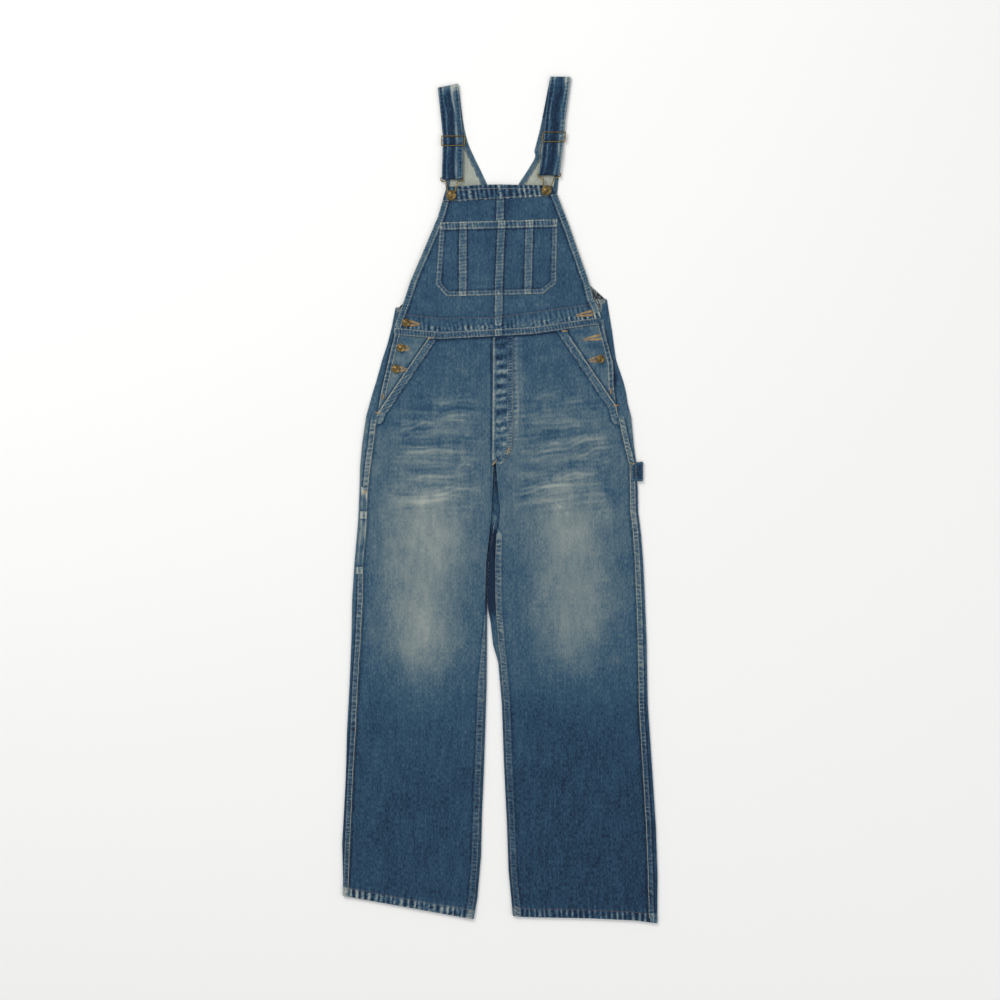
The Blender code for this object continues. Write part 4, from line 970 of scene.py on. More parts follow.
def add_back_leg(name, side, leg, hip, hem):
    """A back panel: out from the outseam, round the leg's outer edge, in along the floor to the inseam.

    Both faces are half a cloth off the section's middle line, along its normal.
    """
    rows = fine_rows(BACK_TOP, HEM_NOMINAL, 3.2)[:, None]
    in_hip = rows > MOUTH_START
    fold = np.where(in_hip, column(hip, 0, 1)(rows), column(leg, 0, 1)(rows))
    seam = np.where(in_hip, column(hip, 0, 2)(rows), column(leg, 0, 2)(rows)) + side * SEAM_GAP
    line_x, line_z, top_count, crotch = back_section(side, leg, fold, seam, rows)
    slope_x, slope_z = np.gradient(line_x, axis=1), np.gradient(line_z, axis=1)
    length = np.hypot(slope_x, slope_z)
    out_x, out_z = -slope_z / length * side, slope_x / length * side

    place = np.arange(line_x.shape[1])
    on_flap = place < top_count + 4
    top_line = back_top_y(line_x) - SEAM_GAP - 0.7 * np.abs(line_x - fold) * on_flap
    page_y = lean_up(slant_rows(rows, line_x, hem), BACK_LEAN, BACK_TOP, top_line)
    upward = np.clip(out_z, 0.0, 1.0)
    on_leg = 1 - ease(rows, MOUTH_START - 5.0, MOUTH_START + 5.0)
    relief = band_relief(BACK_BANDS[side], line_x, page_y) * upward * on_leg
    across = gone_over(line_x, line_z, 1)
    end_gap = np.minimum(np.abs(page_y - page_y[:1]), np.abs(page_y - page_y[-1:]))
    gap = np.minimum(np.minimum(across, across[:, -1:] - across), end_gap)
    half = CLOTH / 2
    outside = half + relief - edge_drop(gap)
    under = np.stack([line_x - out_x * half, page_y, line_z - out_z * half], axis=-1)
    over = np.stack([line_x + out_x * outside, page_y, line_z + out_z * outside], axis=-1)

    # Colour of the face: worn as on the fronts where it looks up, plain and creased where it is hidden, and
    # a painted shadow beside the facing's edge
    mottle = cloud(line_x, page_y, 9.0, 16.0, 43) + cloud(line_x, page_y, 60.0, 90.0, 44)
    hidden = 0.42 + 0.05 * mottle + 0.2 * knee_creases(side, rows, line_x)
    hidden = hidden - 0.12 * ease(-page_y, 380.0, 520.0)
    wash_and_shade = hidden + (wash_and_shade_at(line_x, page_y) - hidden) * ease(out_z, -0.5, 0.5)
    wash_and_shade = wash_and_shade + band_wear_and_shadow(BACK_BANDS[side], line_x, page_y) * upward * on_leg
    wash_and_shade = wash_and_shade - 0.22 * bump(across, 0.0, 1.3) * on_leg
    wash_and_shade = wash_and_shade + 0.10 * bump(across, 0.9 * (across[:, 15:16] + 2), 6.0) * on_leg
    edge_line = RIGHT_FACING_EDGE if side < 0 else LEFT_FACING_EDGE
    from_edge = near_line(edge_line, line_x, page_y)[0]
    # Painted shadow on the flap beside the facing's edge, where the facing and placket stand over it
    wash_and_shade = wash_and_shade - 0.45 * bump(from_edge, 0.0, 3.2) * ease(rows, 146.0, 160.0) * upward
    top_edge = on_flap * bump(page_y, page_y[:1], 1.6) + bump(across, 0.0, 1.5)
    wash_and_shade = wash_and_shade + 0.55 * top_edge * ease(rows, 290.0, 320.0)

    # The gap between the legs: the right side shows there, painted dark as shade and lighter where the cloth
    # heaps up, a painted highlight on the fold at its top, and painted shade in the slot below
    in_gap = (np.abs(line_x + 8.0) < 22.0) & (rows < 80.0) & (rows > -112.0)
    under_tone_and_shade = np.where(in_gap, 0.04 + 0.35 * crotch + 0.12 * wobble(rows + line_x, 17.0, 3.0), 0.5)
    # Near the top the underside is painted darker: painted shade inside the garment
    under_tone_and_shade = under_tone_and_shade - 0.55 * ease(rows, 296.0, 318.0)
    # The slot below the crotch is painted dark on both sides of the cloth: painted shade
    slot = ease(-page_y, 50.0, 62.0) * (1 - ease(-page_y, 182.0, 215.0)) * (np.abs(line_x + 12.0) < 14.0)
    painted_highlight = bump(line_x, -10.0, 4.5) * bump(rows, -34.0, 9.0) * in_gap
    under_tone_and_shade = under_tone_and_shade - 0.6 * slot + 0.45 * painted_highlight
    wash_and_shade = wash_and_shade - 0.6 * slot * (place > top_count)
    grain = np.stack([across, page_y], axis=-1)
    return shell(name, under, over, [CLOTHS["face"], CLOTHS["wrong"]], wash_and_shade, grain,
                 under_slot=1 - in_gap[:-1, :-1].astype(int), under_wash_and_shade=under_tone_and_shade)


def facing_ground(x, y):
    """Underside of the hip facings: level, with soft unevenness."""
    return FACING_UNDER + 0.12 * cloud(x, y, 18.0, 26.0, 51)


def placket_ground(x, y):
    """What the side plackets lie on: the facings' faces."""
    return facing_ground(x, y) + CLOTH + 0.1


def add_hip_facing(name, side, edge, mouth):
    """The facing behind a slanted pocket mouth, from the side opening to just under the front."""
    top = 302.0
    rows = fine_rows(top, MOUTH_START + 0.6, 2.2)[:, None]
    outer = column(edge, 1, 0)(rows) - side * SEAM_GAP
    inner = column(mouth, 1, 0)(np.minimum(rows, 292.0)) - side * 14.0
    page_x = outer + (inner - outer) * np.linspace(0.0, 1.0, 44)[None, :]
    page_y = lean_up(rows, 285.0, top, waist_y(page_x) + 6.0)
    mouth_shadow = flat_band(mouth[::-1] if side < 0 else mouth, -0.1, 14.0, 12.0, 5.0, chunk=0.0)
    shade = 0.24 if side < 0 else 0.16
    return laid_panel(name, page_x, page_y, [mouth_shadow], tone_shift=shade, follow=facing_ground)


def add_side_placket(name, side, edge, top_y, end_y):
    """The hem of the side opening, a narrow strip folded onto the facing's edge."""
    rows = fine_rows(top_y, end_y, 1.6)[:, None]
    across = steps_between(0.0, 9.0, 1.0)[None, :]
    page_x = column(edge, 1, 0)(rows) - side * (PLACKET_INSET + across)
    page_y = lean_up(rows, top_y - 12.0, top_y, waist_y(page_x) - AIR)
    line = np.stack([page_x[:, 0], page_y[:, 0]], axis=1)
    line = line[::-1] if side > 0 else line
    seams = [
        band(line, -0.5, 9.5, 9.0, 12.0, rise=0.15, pucker=0.0, pale=0.26, chunk=0.10, tone=0.02),
        flat_band(line, 3.2, 6.6, 5.0, 33.0, chunk=0.16, tone=-0.10, dark=0.0),
    ]
    return laid_panel(name, page_x, page_y, seams, follow=placket_ground)


def add_bib():
    """The bib, from its top edge to the waist seam, side hems and felled centre seam raised.

    Rows run straight from side to side. The curve of the top edge fades out down the bib with the
    cube of the way left, and that of the waist seam fades in with the square of the way gone.
    """
    share = shares(255.0, 1.7)[:, None]
    across = shares(260.0, 1.5)[None, :]
    (top_left, top_right), (low_left, low_right) = BIB_TOP[[0, -1], 1], WAIST_SEAM[[0, -1], 1]
    left_row = top_left + share * (low_left - top_left)
    right_row = top_right + share * (low_right - top_right)
    left = column(BIB_RIGHT_EDGE, 1, 0)(left_row)
    right = column(BIB_LEFT_EDGE, 1, 0)(right_row)
    page_x = left + (right - left) * across
    straight = left_row + across * (right_row - left_row)
    top_rise = column(BIB_TOP, 0, 1)(page_x) - (top_left + across * (top_right - top_left))
    waist_drop = waist_y(page_x) + SEAM_GAP - (low_left + across * (low_right - low_left))
    page_y = straight + (1 - share) ** 3 * top_rise + share ** 2 * waist_drop
    return laid_panel("bib_cloth", page_x, page_y, BIB_BANDS)


def bib_face(x, y):
    """Height of the bib's face with its raised seams, which what is sewn on it follows."""
    return lie(x, y) + CLOTH + SEAM_GAP + band_relief(BIB_BANDS, x, y)


def band_ripple(x, y):
    """The bib band's roping in relief, in step with its wear."""
    return 0.22 * ticks(near_line(BIB_BAND_LOW, x, y)[1], 0.0 * x, 9.5, 13.0)


def add_bib_top_band():
    """The wide hem along the bib's top edge, roped by its two rows of sewing."""
    across = shares(190.0, 1.2)[None, :]
    down = shares(26.0, 1.0)[:, None]
    top_x = -93.6 + across * (91.1 + 93.6)
    low_x = BIB_BAND_LOW[0, 0] + across * (BIB_BAND_LOW[-1, 0] - BIB_BAND_LOW[0, 0])
    low_y = np.interp(across, [0.0, 0.5, 1.0], BIB_BAND_LOW[:, 1])
    top_y = column(BIB_TOP, 0, 1)(top_x)
    page_x = top_x + (low_x - top_x) * down
    page_y = top_y + (low_y - top_y) * down
    roped = [
        flat_band(BIB_BAND_LOW, -2.0, 28.0, 9.5, 13.0, chunk=0.34),
        band(CENTRE_SEAM, -5.6, 6.4, 7.0, 24.0, rise=0.3, pucker=0.0, pale=0.14, chunk=0.08, tone=0.12),
    ]
    return laid_panel("bib_band_cloth", page_x, page_y, roped, follow=bib_face, extra=band_ripple,
                      tone_shift=-0.04)


def pocket_strip_lines():
    """Middle lines of the three stitched strips down the bib pocket."""
    tops = [(-64.8, 487.0), (2.8, 488.4), (51.5, 489.8)]
    ends = [(-65.5, 357.5), (-2.8, 359.0), (48.6, 360.4)]
    return [np.array([end, top]) for top, end in zip(tops, ends)]


POCKET_TOP = np.array([(100.0, 491.4), (-104.5, 485.6)])
POCKET_EDGE = np.array([
    (-104.5, 485.6), (-112.0, 376.6), (-93.5, 356.5), (75.2, 361.0), (98.0, 379.2), (100.0, 491.4),
])
POCKET_BANDS = [
    band(POCKET_TOP, -0.5, 13.0, 6.0, 14.0, rise=0.55, pale=0.22, chunk=0.15, tone=0.12),
    *[band(line, -6.2, 6.2, 6.0, 15.0 + place, rise=0.45, pale=0.28, chunk=0.08, tone=0.16)
      for place, line in enumerate(pocket_strip_lines())],
    band(POCKET_EDGE, -0.5, 8.0, 7.0, 18.0, rise=0.25, pucker=0.16, chunk=0.14, tone=0.08, dark=0.10),
]


def pocket_slack(x, y):
    """The pocket's top edge stands a little off the bib in its middle."""
    return 0.35 * bump(y, 489.0, 16.0) * bump(x, -4.0, 70.0)


def add_bib_pocket():
    """The patch pocket with cut lower corners, top hem and three stitched strips."""
    down = shares(130.0, 1.4)[:, None]
    across = shares(205.0, 1.3)[None, :]
    place = np.interp(down, [0.0, 0.099, 0.467, 0.842, 1.0], range(5))
    left, left_y, right, right_y = [np.interp(place, range(5), key) for key in BIB_POCKET.T]
    page_x = left + (right - left) * across
    page_y = left_y + (right_y - left_y) * across
    return laid_panel("bib_pocket_cloth", page_x, page_y, POCKET_BANDS, follow=bib_face,
                      extra=pocket_slack, tone_shift=-0.03)


def waist_ground(x, y):
    """What the waist seam lies on: the bib's edge above and the fronts' edges below, eased together."""
    return lie(x, y) + CLOTH + 0.1 + 0.5 * band_relief(BIB_BANDS[2:4], x, y)


def add_waist_seam():
    """The felled seam across the waist, over the bib's lower edge and the fronts' tops."""
    down = steps_between(0.0, 11.5, 0.8)[:, None]
    page_x = steps_between(-184.5, 177.5, 1.2)[None, :] + 0 * down
    page_y = waist_y(page_x) + 9.0 - down
    line = np.stack([page_x[-1], page_y[-1]], axis=1)[::6]
    roped = [
        band(line, -0.5, 12.0, 5.4, 19.0, rise=0.25, pucker=0.0, chunk=0.14, tone=0.02),
        flat_band(line, 3.0, 8.5, 3.6, 29.0, chunk=0.10, tone=-0.06, dark=0.0),
        band(CENTRE_ON_WAIST, -6.2, 6.2, 7.0, 25.0, rise=0.4, pucker=0.0, pale=0.12, chunk=0.06, tone=0.16),
    ]
    return laid_panel("waist_seam_cloth", page_x, page_y, roped, follow=waist_ground)


FLY_LINE = np.array([(-12.0, 290.0), (-13.8, 63.5)])
FLY_BANDS = [
    flat_band(FLY_LINE, 5.0, 26.0, 16.5, 20.0, chunk=0.20, tone=-0.03, dark=0.0),
    flat_band(FLY_LINE, -3.0, 3.4, 7.0, 26.0, pale=0.16, chunk=0.05, tone=0.08, dark=0.0),
    flat_band(FLY[::-1, [2, 0]], -0.6, 9.6, 5.2, 27.0, pale=0.10, chunk=0.16, tone=0.02, dark=0.0),
]


def fly_ground(x, y):
    """What the fly placket lies on: the left front's face."""
    return lie(x, y) + CLOTH + 0.1


def fly_ladder(x, y):
    """Rungs across the middle of the fly, pressed through by the layers under it."""
    return 0.30 * ticks(290.0 - y, 0.0 * x, 16.5, 20.0) * between(x, -9.0, 18.0, 6.0)


def add_fly_placket():
    """The placket sewn on the left front beside the centre, curved at its lower end."""
    top = FLY[0, 0]
    rows = fine_rows(top, FLY[-1, 0], 1.5)[:, None]
    left, right = column(FLY, 0, 1)(rows), column(FLY, 0, 2)(rows)
    page_x = left + (right - left) * shares(35.0, 1.0)[None, :]
    page_y = lean_up(rows, 240.0, top, waist_y(page_x) - 2.3)
    patches = 0.20 * cloud(page_x, page_y, 8.0, 7.0, 73) - 0.45 * ease(page_y, 264.0, 284.0)
    return laid_panel("fly_placket_cloth", page_x, page_y, FLY_BANDS, follow=fly_ground,
                      extra=fly_ladder, tone_shift=patches - 0.03)


def add_back_bib():
    """The high back, a ribbon of sections round its V; its wrong side shows, its face is on the floor."""
    table = BACK_BIB.copy()
    table[:, 3] = np.where(table[:, 3] < 352.0, back_top_y(table[:, 2]) + SEAM_GAP, table[:, 3])
    rounded = smooth_route(table[:, :2], 2.0)
    spot = gone_along(rounded)
    knots = [spot[np.linalg.norm(rounded - knot, axis=1).argmin()] for knot in table[:, :2]]
    gone = gone_along((table[:, :2] + table[:, 2:]) / 2)
    place = steps_between(0.0, gone[-1], 4.2)
    on_curve = np.interp(place, gone, knots)
    inner_x, inner_y = [np.interp(on_curve, spot, key)[:, None] for key in rounded.T]
    outer_x, outer_y = [np.interp(place, gone, key)[:, None] for key in table[:, 2:].T]
    share = shares(120.0, 2.6)[None, :]
    page_x = inner_x + (outer_x - inner_x) * share
    page_y = inner_y + (outer_y - inner_y) * share
    length = np.hypot(inner_x - outer_x, inner_y - outer_y)
    inward = length * share
    outer_gap = length - inward + 40.0 * (1 - ease(page_y, 500.0, 520.0))
    hem = np.maximum(ease(V_HEM - inward, -0.6, 0.8), ease(SIDE_HEM - outer_gap, -0.6, 0.8))

    def floor_waves(x, y):
        """Height over the floor: soft waves that settle towards the V's edge."""
        return 0.35 * np.clip(cloud(x, y, 34.0, 34.0, 52), 0, None) * ease(inward, 4.0, 30.0)

    def ridge(x, y):
        """The folded hems stand up, roped along their run. Given on the panel's own grid."""
        return hem * (0.9 + 0.15 * wobble(place[:, None], 10.0, 21.0))

    middle_in = (inward[:-1, :-1] + inward[1:, 1:]) / 2
    middle_out = (outer_gap[:-1, :-1] + outer_gap[1:, 1:]) / 2
    rolled = ((middle_in < V_HEM) | (middle_out < SIDE_HEM)).astype(int)
    # Below y 352 to 400 the wrong side is painted near-black: painted shade inside the garment by the side
    # openings. The hems are a little paler
    shade = 0.15 - 0.95 * (1 - ease(page_y, 352.0, 400.0)) + 0.10 * hem
    return laid_panel("back_bib_cloth", page_x, page_y, [], follow=floor_waves, extra=ridge,
                      tone_shift=shade, slots=("wrong", "face"), over_slots=rolled)


# Straps, loop and tool pocket

# Heights of middles in the strap's side view: its run back under the hook, the hook's bar, its run
# over that bar, the slider's wire, and its run by the shoulder
RETURN_MID = 2.3
HOOK_BAR_Z = RETURN_MID + STRAP_WALL / 2 + AIR + WIRE / 2
STRAP_TOP_MID = HOOK_BAR_Z + WIRE / 2 + AIR + STRAP_WALL / 2
SLIDER_Z = 6.0
SHOULDER_MID = 4.6


def strap_profile(run, slider_y):
    """The strap's side view: up the back, over the shoulder, through the slider, round the hook's bar."""
    top_y, end_y = run[0, 0], run[-1, 0]
    half = STRAP_WALL / 2
    fold = (SHOULDER_MID - half) / 2
    fold_y = top_y - half - fold
    swing = half + SLIDER_WIRE / 2 + AIR
    points = [(STRAP_START, half), (top_y - 25.0, half), (fold_y, half)]
    for angle in np.radians([-50, 0, 50]):
        points.append((fold_y + fold * math.cos(angle), half + fold * (1 + math.sin(angle))))
    points += [(y, SHOULDER_MID) for y in (fold_y, top_y - 40.0, slider_y + 20.0)]
    for share, lift in ((1.0, -1.0), (0.5, 0.1), (0.0, 1.0), (-0.5, 0.1), (-1.0, -1.0)):
        points.append((slider_y + share * SLIDER_HALF, SLIDER_Z + lift * swing))
    points += [(slider_y - 15.0, 5.0), (slider_y - 26.0, STRAP_TOP_MID - 0.4), (end_y + 14.0, STRAP_TOP_MID)]
    loop = (STRAP_TOP_MID - RETURN_MID) / 2
    for angle in np.radians([90, 45, 0, -45, -90]):
        loop_y = end_y + half + loop * (1 - math.cos(angle))
        points.append((loop_y, RETURN_MID + loop * (1 + math.sin(angle))))
    points += [(end_y + 26.0, RETURN_MID), (slider_y - 18.0, RETURN_MID)]
    return smooth_route(points, 1.5)


def swept(line, spread, cloth, relief, gap, to_points):
    """Two grids swept along a side view: both faces of a cloth about its middle, edges turned in.

    The face lies right of the line where spread is 1, left where it is -1, and to_points gives the
    points for the side view's two coordinates.
    """
    normal = normal_of(line)
    grids = []
    for offset, raised in ((-cloth / 2, 0 * relief), (cloth / 2, relief)):
        reach = offset + raised - np.sign(offset) * edge_drop(gap)
        first = line[:, 0:1] + spread * normal[:, 0:1] * reach
        grids.append(to_points(first, line[:, 1:2] + spread * normal[:, 1:2] * reach))
    return grids


def add_strap(name, run, slider_y, seed, slant, swerve, pale_at):
    """A doubled denim strap swept along its side view, with a ridge beside each edge.

    Its fold at the shoulder slants, and its back run swerves out from under the front one.
    """
    line = strap_profile(run, slider_y)
    line_y = line[:, 0:1]
    across = steps_between(-STRAP_WIDTH / 2, STRAP_WIDTH / 2, 1.2)[None, :]
    gone = gone_along(line)[:, None]
    top_y = run[0, 0]
    on_back = gone < top_y - STRAP_START
    middle_x = column(run, 0, 1)(line[:, 0])[:, None]
    middle_x = middle_x + swerve * on_back * np.clip((top_y - line_y) / (top_y - STRAP_START), 0.0, 1.0)
    near_top = np.clip((line_y - top_y + 40.0) / 40.0, 0.0, 1.0)
    rope = ticks(gone, across, 7.0, seed)
    drift = across + 1.2 * wobble(gone, 60.0, seed)
    ridge = bump(np.abs(across), 14.6, 2.0) * (0.32 + 0.12 * rope) + 0.30 * bump(drift, 6.5, 2.0)
    ridge = ridge - 0.25 * bump(drift, 1.0, 3.0) + 0.25 * bump(drift, -7.5, 1.8)
    swell = 0.10 * cloud(across, gone, 12.0, 16.0, 61)

    def strap_points(y, z):
        """Points of one face, its rows slanted near the fold and kept off the floor."""
        slanted = y + slant * near_top * across / (STRAP_WIDTH / 2)
        return np.stack([middle_x + across + 0 * slanted, slanted, np.clip(z, 0.0, None)], axis=-1)

    gap = np.minimum(across + STRAP_WIDTH / 2, STRAP_WIDTH / 2 - across)
    under, over = swept(line, 1.0, STRAP_WALL, ridge + swell, gap, strap_points)

    # Pale ridges down the strap, dark hollows beside them, a worn fold and rubs under the slider
    worn = 0.75 + 0.35 * cloud(across, gone, 5.0, 22.0, seed)
    wash_and_shade = 0.10 + 0.12 * cloud(across, gone, 3.0, 14.0, 62)
    wash_and_shade = wash_and_shade + 0.95 * worn * bump(drift, pale_at, 2.6) + 0.45 * worn * bump(drift, pale_at + 5.2, 2.4)
    wash_and_shade = wash_and_shade + 0.70 * worn * bump(drift, -9.6, 1.7) + 0.75 * bump(across, 16.6, 1.2)
    wash_and_shade = wash_and_shade + 0.60 * bump(across, -16.8, 1.0) + 0.25 * rope * bump(np.abs(across), 13.5, 3.0)
    wash_and_shade = wash_and_shade - 0.20 * bump(drift, 1.0, 2.4) - 0.25 * bump(across, -13.2, 1.5)
    wash_and_shade = wash_and_shade + bump(line_y, top_y, 13.0) * (0.55 + 0.40 * cloud(across, gone, 6.0, 10.0, 64))
    wash_and_shade = wash_and_shade + 0.15 * bump(line_y, slider_y, 9.0) * cloud(across, gone, 3.0, 9.0, 66)
    grain = np.stack(np.broadcast_arrays(across, gone), axis=-1)
    return shell(name, under, over, [CLOTHS["face"], CLOTHS["face"]], wash_and_shade, grain, under_wash_and_shade=0.2)


def add_hammer_loop():
    """The loop on the left leg: out from the outseam past the side and back under at the fold."""
    start_x, fold_x, out_x, width, top = 229.2, 241.0, 250.4, 31.0, 64.0
    half = CLOTH / 2
    level = float(lie(np.array(230.0), np.array(48.0))) + CLOTH + SEAM_RISE + half + 0.1
    drop, bend = (level - half) / 2, 3.0
    turn_x = out_x - half - bend
    points = [(start_x, level - 0.4), (start_x + 2.0, level), ((start_x + fold_x) / 2, level),
              (fold_x, level + 0.1)]
    for angle in np.radians([90, 50, 10, -30, -60, -90]):
        points.append((turn_x + bend * math.cos(angle), half + drop * (1 + math.sin(angle))))
    line = smooth_route(points + [(turn_x - 2.2, half)], 0.8)
    down = steps_between(0.0, width, 1.6)[None, :]
    lean = 3.5 * np.clip((line[:, 0:1] - start_x) / (out_x - start_x), 0.0, 1.0) * (1 - down / width)
    gap = np.minimum(down, width - down)

    def loop_points(x, z):
        """Points of one face, its rows leaning up towards the outer end."""
        return np.stack([x, top - down + lean, z], axis=-1)

    under, over = swept(line, -1.0, CLOTH, 0.35 * bump(gap, 3.0, 1.8), gap, loop_points)
    gone = gone_along(line)[:, None]
    rim = bump(gap, 2.2, 1.5) + 0.8 * bump(gone, 2.5, 1.6)
    wash_and_shade = 0.16 + 0.45 * rim + 0.22 * bump(gone, 20.0, 2.0) + 0.10 * cloud(gone, down, 4.0, 5.0, 63)
    grain = np.stack(np.broadcast_arrays(down, gone), axis=-1)
    FACES["hammer_loop_cloth"] = level_at(level + half)
    return shell("hammer_loop_cloth", under, over, [CLOTHS["face"], CLOTHS["wrong"]], wash_and_shade, grain)


def back_ridge(x, y):
    """Height of the right back's top beside the outseam, which the tool pocket lies on."""
    return lie(x, y) + CLOTH + 0.1 + band_relief(BACK_BANDS[-1][:1], x, y)


def pocket_settle(x, y):
    """The tool pocket sinks half a millimetre towards the leg's outer edge."""
    return -0.5 * ease(column(RIGHT_LEG, 0, 2)(y) - x, 9.0, 15.0)


def add_tool_pocket():
    """The strip of the tool pocket that shows outboard of the right outseam, its mouth slanted."""
    top, width = 13.0, 14.0
    rows = fine_rows(top, -129.0, 2.4)[:, None]
    outer = column(RIGHT_LEG, 0, 1)(rows) + 3.4
    inner = column(RIGHT_LEG, 0, 2)(rows) - 0.8
    share = shares(width, 1.5)[None, :]
    page_x = inner + (outer - inner) * share
    mouth_lift = np.interp(share, [0.0, 0.6, 1.0], [0.0, 7.5, 11.0])
    page_y = rows + mouth_lift * np.exp(-(top - rows) / 12.0)
    hems = [band([(-270.0, y), (-230.0, y)], -6.0, 6.0, 6.0, 22.0, rise=0.3, pucker=0.1, pale=0.26,
                 chunk=0.10, tone=0.30) for y in (-26.0, -124.0)]
    from_mouth = top + mouth_lift - page_y
    edges = bump(width * share, 1.6, 1.2) + bump(width * share, 10.5, 1.4)
    pale = 0.42 * bump(from_mouth, 7.0, 7.0) + 0.34 * edges + 0.20 * cloud(page_x, page_y, 4.0, 11.0, 74)
    return laid_panel("tool_pocket_cloth", page_x, page_y, hems, follow=back_ridge,
                      extra=pocket_settle, tone_shift=pale)


# Brass

def tube(name, route, radius, material, closed=True, sides=14):
    """A wire of round section along a curve: rings stood across it, upright where it lies flat."""
    route = smooth_route(route, 0.9, closed)
    if closed:
        tangent = np.roll(route, -1, axis=0) - np.roll(route, 1, axis=0)
    else:
        tangent = np.gradient(route, axis=0)
    tangent = unit(tangent)
    aside = unit(np.cross(tangent, np.array([0.0, 0.0, 1.0])))
    above = np.cross(aside, tangent)
    turn = np.arange(sides) / sides * 2 * math.pi
    ring = aside[:, None, :] * np.cos(turn)[None, :, None] + above[:, None, :] * np.sin(turn)[None, :, None]
    points = route[:, None, :] + radius * ring
    index = np.arange(len(route) * sides).reshape(len(route), sides)
    index = np.concatenate([index, index[:, :1]], axis=1)
    if closed:
        index = np.concatenate([index, index[:1]], axis=0)
    quads = quads_of(index)
    points = points.reshape(-1, 3)
    if volume_sign(points - points.mean(axis=0), quads) < 0:
        quads = quads[:, ::-1]
    return new_mesh(name, points, quads, [material])


def join_meshes(name, pieces):
    """One mesh object from several, keeping their materials."""
    with bpy.context.temp_override(active_object=pieces[0], selected_editable_objects=pieces):
        bpy.ops.object.join()
    pieces[0].name = name
    return pieces[0]


def add_slider(name, run, slider_y):
    """A wire slider: a rounded rectangle over the strap, and the middle bar under it."""
    middle = float(column(run, 0, 1)(slider_y))
    half_width = STRAP_WIDTH / 2 + AIR + SLIDER_WIRE / 2 + 0.6
    corner = 2.0
    route = []
    for x_sign, y_sign, start in ((1, 1, 0), (-1, 1, 90), (-1, -1, 180), (1, -1, 270)):
        for angle in np.radians([start, start + 45, start + 90]):
            corner_y = slider_y + y_sign * (SLIDER_HALF - corner) + corner * math.sin(angle)
            corner_x = float(column(run, 0, 1)(corner_y)) + x_sign * (half_width - corner)
            route.append((corner_x + corner * math.cos(angle), corner_y, SLIDER_Z))
    frame_wire = tube(name, route, SLIDER_WIRE / 2, BRASS["wire"])
    ends = [(middle + reach, slider_y, SLIDER_Z) for reach in (-half_width, 0.0, half_width)]
    bar = tube(name + "_bar", ends, SLIDER_WIRE / 2 - 0.1, BRASS["wire"], closed=False)
    return join_meshes(name, [frame_wire, bar])


# The hooks' rings lie over the bib's side hems, whose solids are a wall and a step high
SOLID_WALL = 1.1
SOLID_STEP = 0.7
OVER_HEM = 1.4
BIB_WIRE_Z = HIP_LIE + SOLID_WALL + SOLID_STEP + AIR + OVER_HEM + WIRE / 2
RING_RADIUS = 8.0
BUTTON_SIDES = 60
BUTTON_BEADS = 20


def add_hook(name, run, button):
    """The wire hook: a wide frame in the strap's loop, a neck, and a ring round the bib button."""
    end = np.array([float(column(run, 0, 1)(run[-1, 0])), run[-1, 0]])
    place = np.array(button)
    reach = float(end[1] - place[1])
    axis = (end - place) / reach
    aside = np.array([1.0, 0.0])
    bar_at = reach + STRAP_WALL + AIR + WIRE / 2 + 0.5
    wide = STRAP_WIDTH / 2 + AIR + WIRE / 2 + 0.5
    half = [(bar_at, 0.0, HOOK_BAR_Z), (bar_at, wide - 3.0, HOOK_BAR_Z),
            (bar_at - 1.0, wide - 0.6, HOOK_BAR_Z), (bar_at - 3.0, wide, HOOK_BAR_Z),
            (reach - 0.5, wide, HOOK_BAR_Z + 0.3), (reach - 2.6, wide - 1.2, HOOK_BAR_Z + 0.9),
            (reach - 3.4, wide - 4.0, HOOK_BAR_Z + 1.4), (reach - 4.2, 11.0, HOOK_BAR_Z + 2.2),
            (reach - 6.4, 9.4, HOOK_BAR_Z + 3.0), (max(12.5, reach - 11.0), 8.6, BIB_WIRE_Z)]
    for angle in np.radians([40, 10, -20, -55]):
        half.append((RING_RADIUS * math.sin(angle), RING_RADIUS * math.cos(angle), BIB_WIRE_Z))
    half.append((-RING_RADIUS, 0.0, BIB_WIRE_Z))
    far_side = [(along, -across, z) for along, across, z in half[1:-1]][::-1]
    route = [(*(place + axis * along + aside * across), z) for along, across, z in half + far_side]
    return tube(name, route, WIRE / 2, BRASS["wire"])


def add_button(name, place, diameter, seat_z, cap_z):
    """A pressed shank button, turned: stem, rolled rim, a ring of small beads and a low domed middle."""
    half = diameter / 2
    stem = np.array([(0.01, seat_z), (2.9, seat_z), (3.0, cap_z + 0.2)])
    rim = [(1.0, 0.0), (0.3, 0.25), (0.0, 0.8), (0.25, 1.35), (0.8, 1.6), (1.4, 1.45), (1.9, 1.1),
           (2.5, 1.3), (3.1, 1.3), (3.6, 1.05)]
    cap = [(half - inset, cap_z + rise) for inset, rise in rim]
    cap += [(half * 0.45, cap_z + 1.45), (half * 0.28, cap_z + 1.8), (half * 0.12, cap_z + 1.95),
            (0.01, cap_z + 2.0)]
    curve = np.concatenate([stem, smooth_route(cap, 0.25)])
    turn = np.arange(BUTTON_SIDES) / BUTTON_SIDES * 2 * math.pi
    radius, height = curve[:, 0:1], curve[:, 1:2]
    beads = 0.14 * bump(radius, half - 2.8, 0.5) * np.cos(BUTTON_BEADS * turn)[None, :]
    beads = beads * (height > cap_z + 0.9)
    points = np.stack([place[0] + radius * np.cos(turn), place[1] + radius * np.sin(turn), height + beads],
                      axis=-1)
    index = np.arange(points.shape[0] * BUTTON_SIDES).reshape(-1, BUTTON_SIDES)
    quads = quads_of(np.concatenate([index, index[:, :1]], axis=1))
    return new_mesh(name, points.reshape(-1, 3), quads, [BRASS["button"]], sharp=70.0)


# Sewing

STITCH_WANDER = 0.25


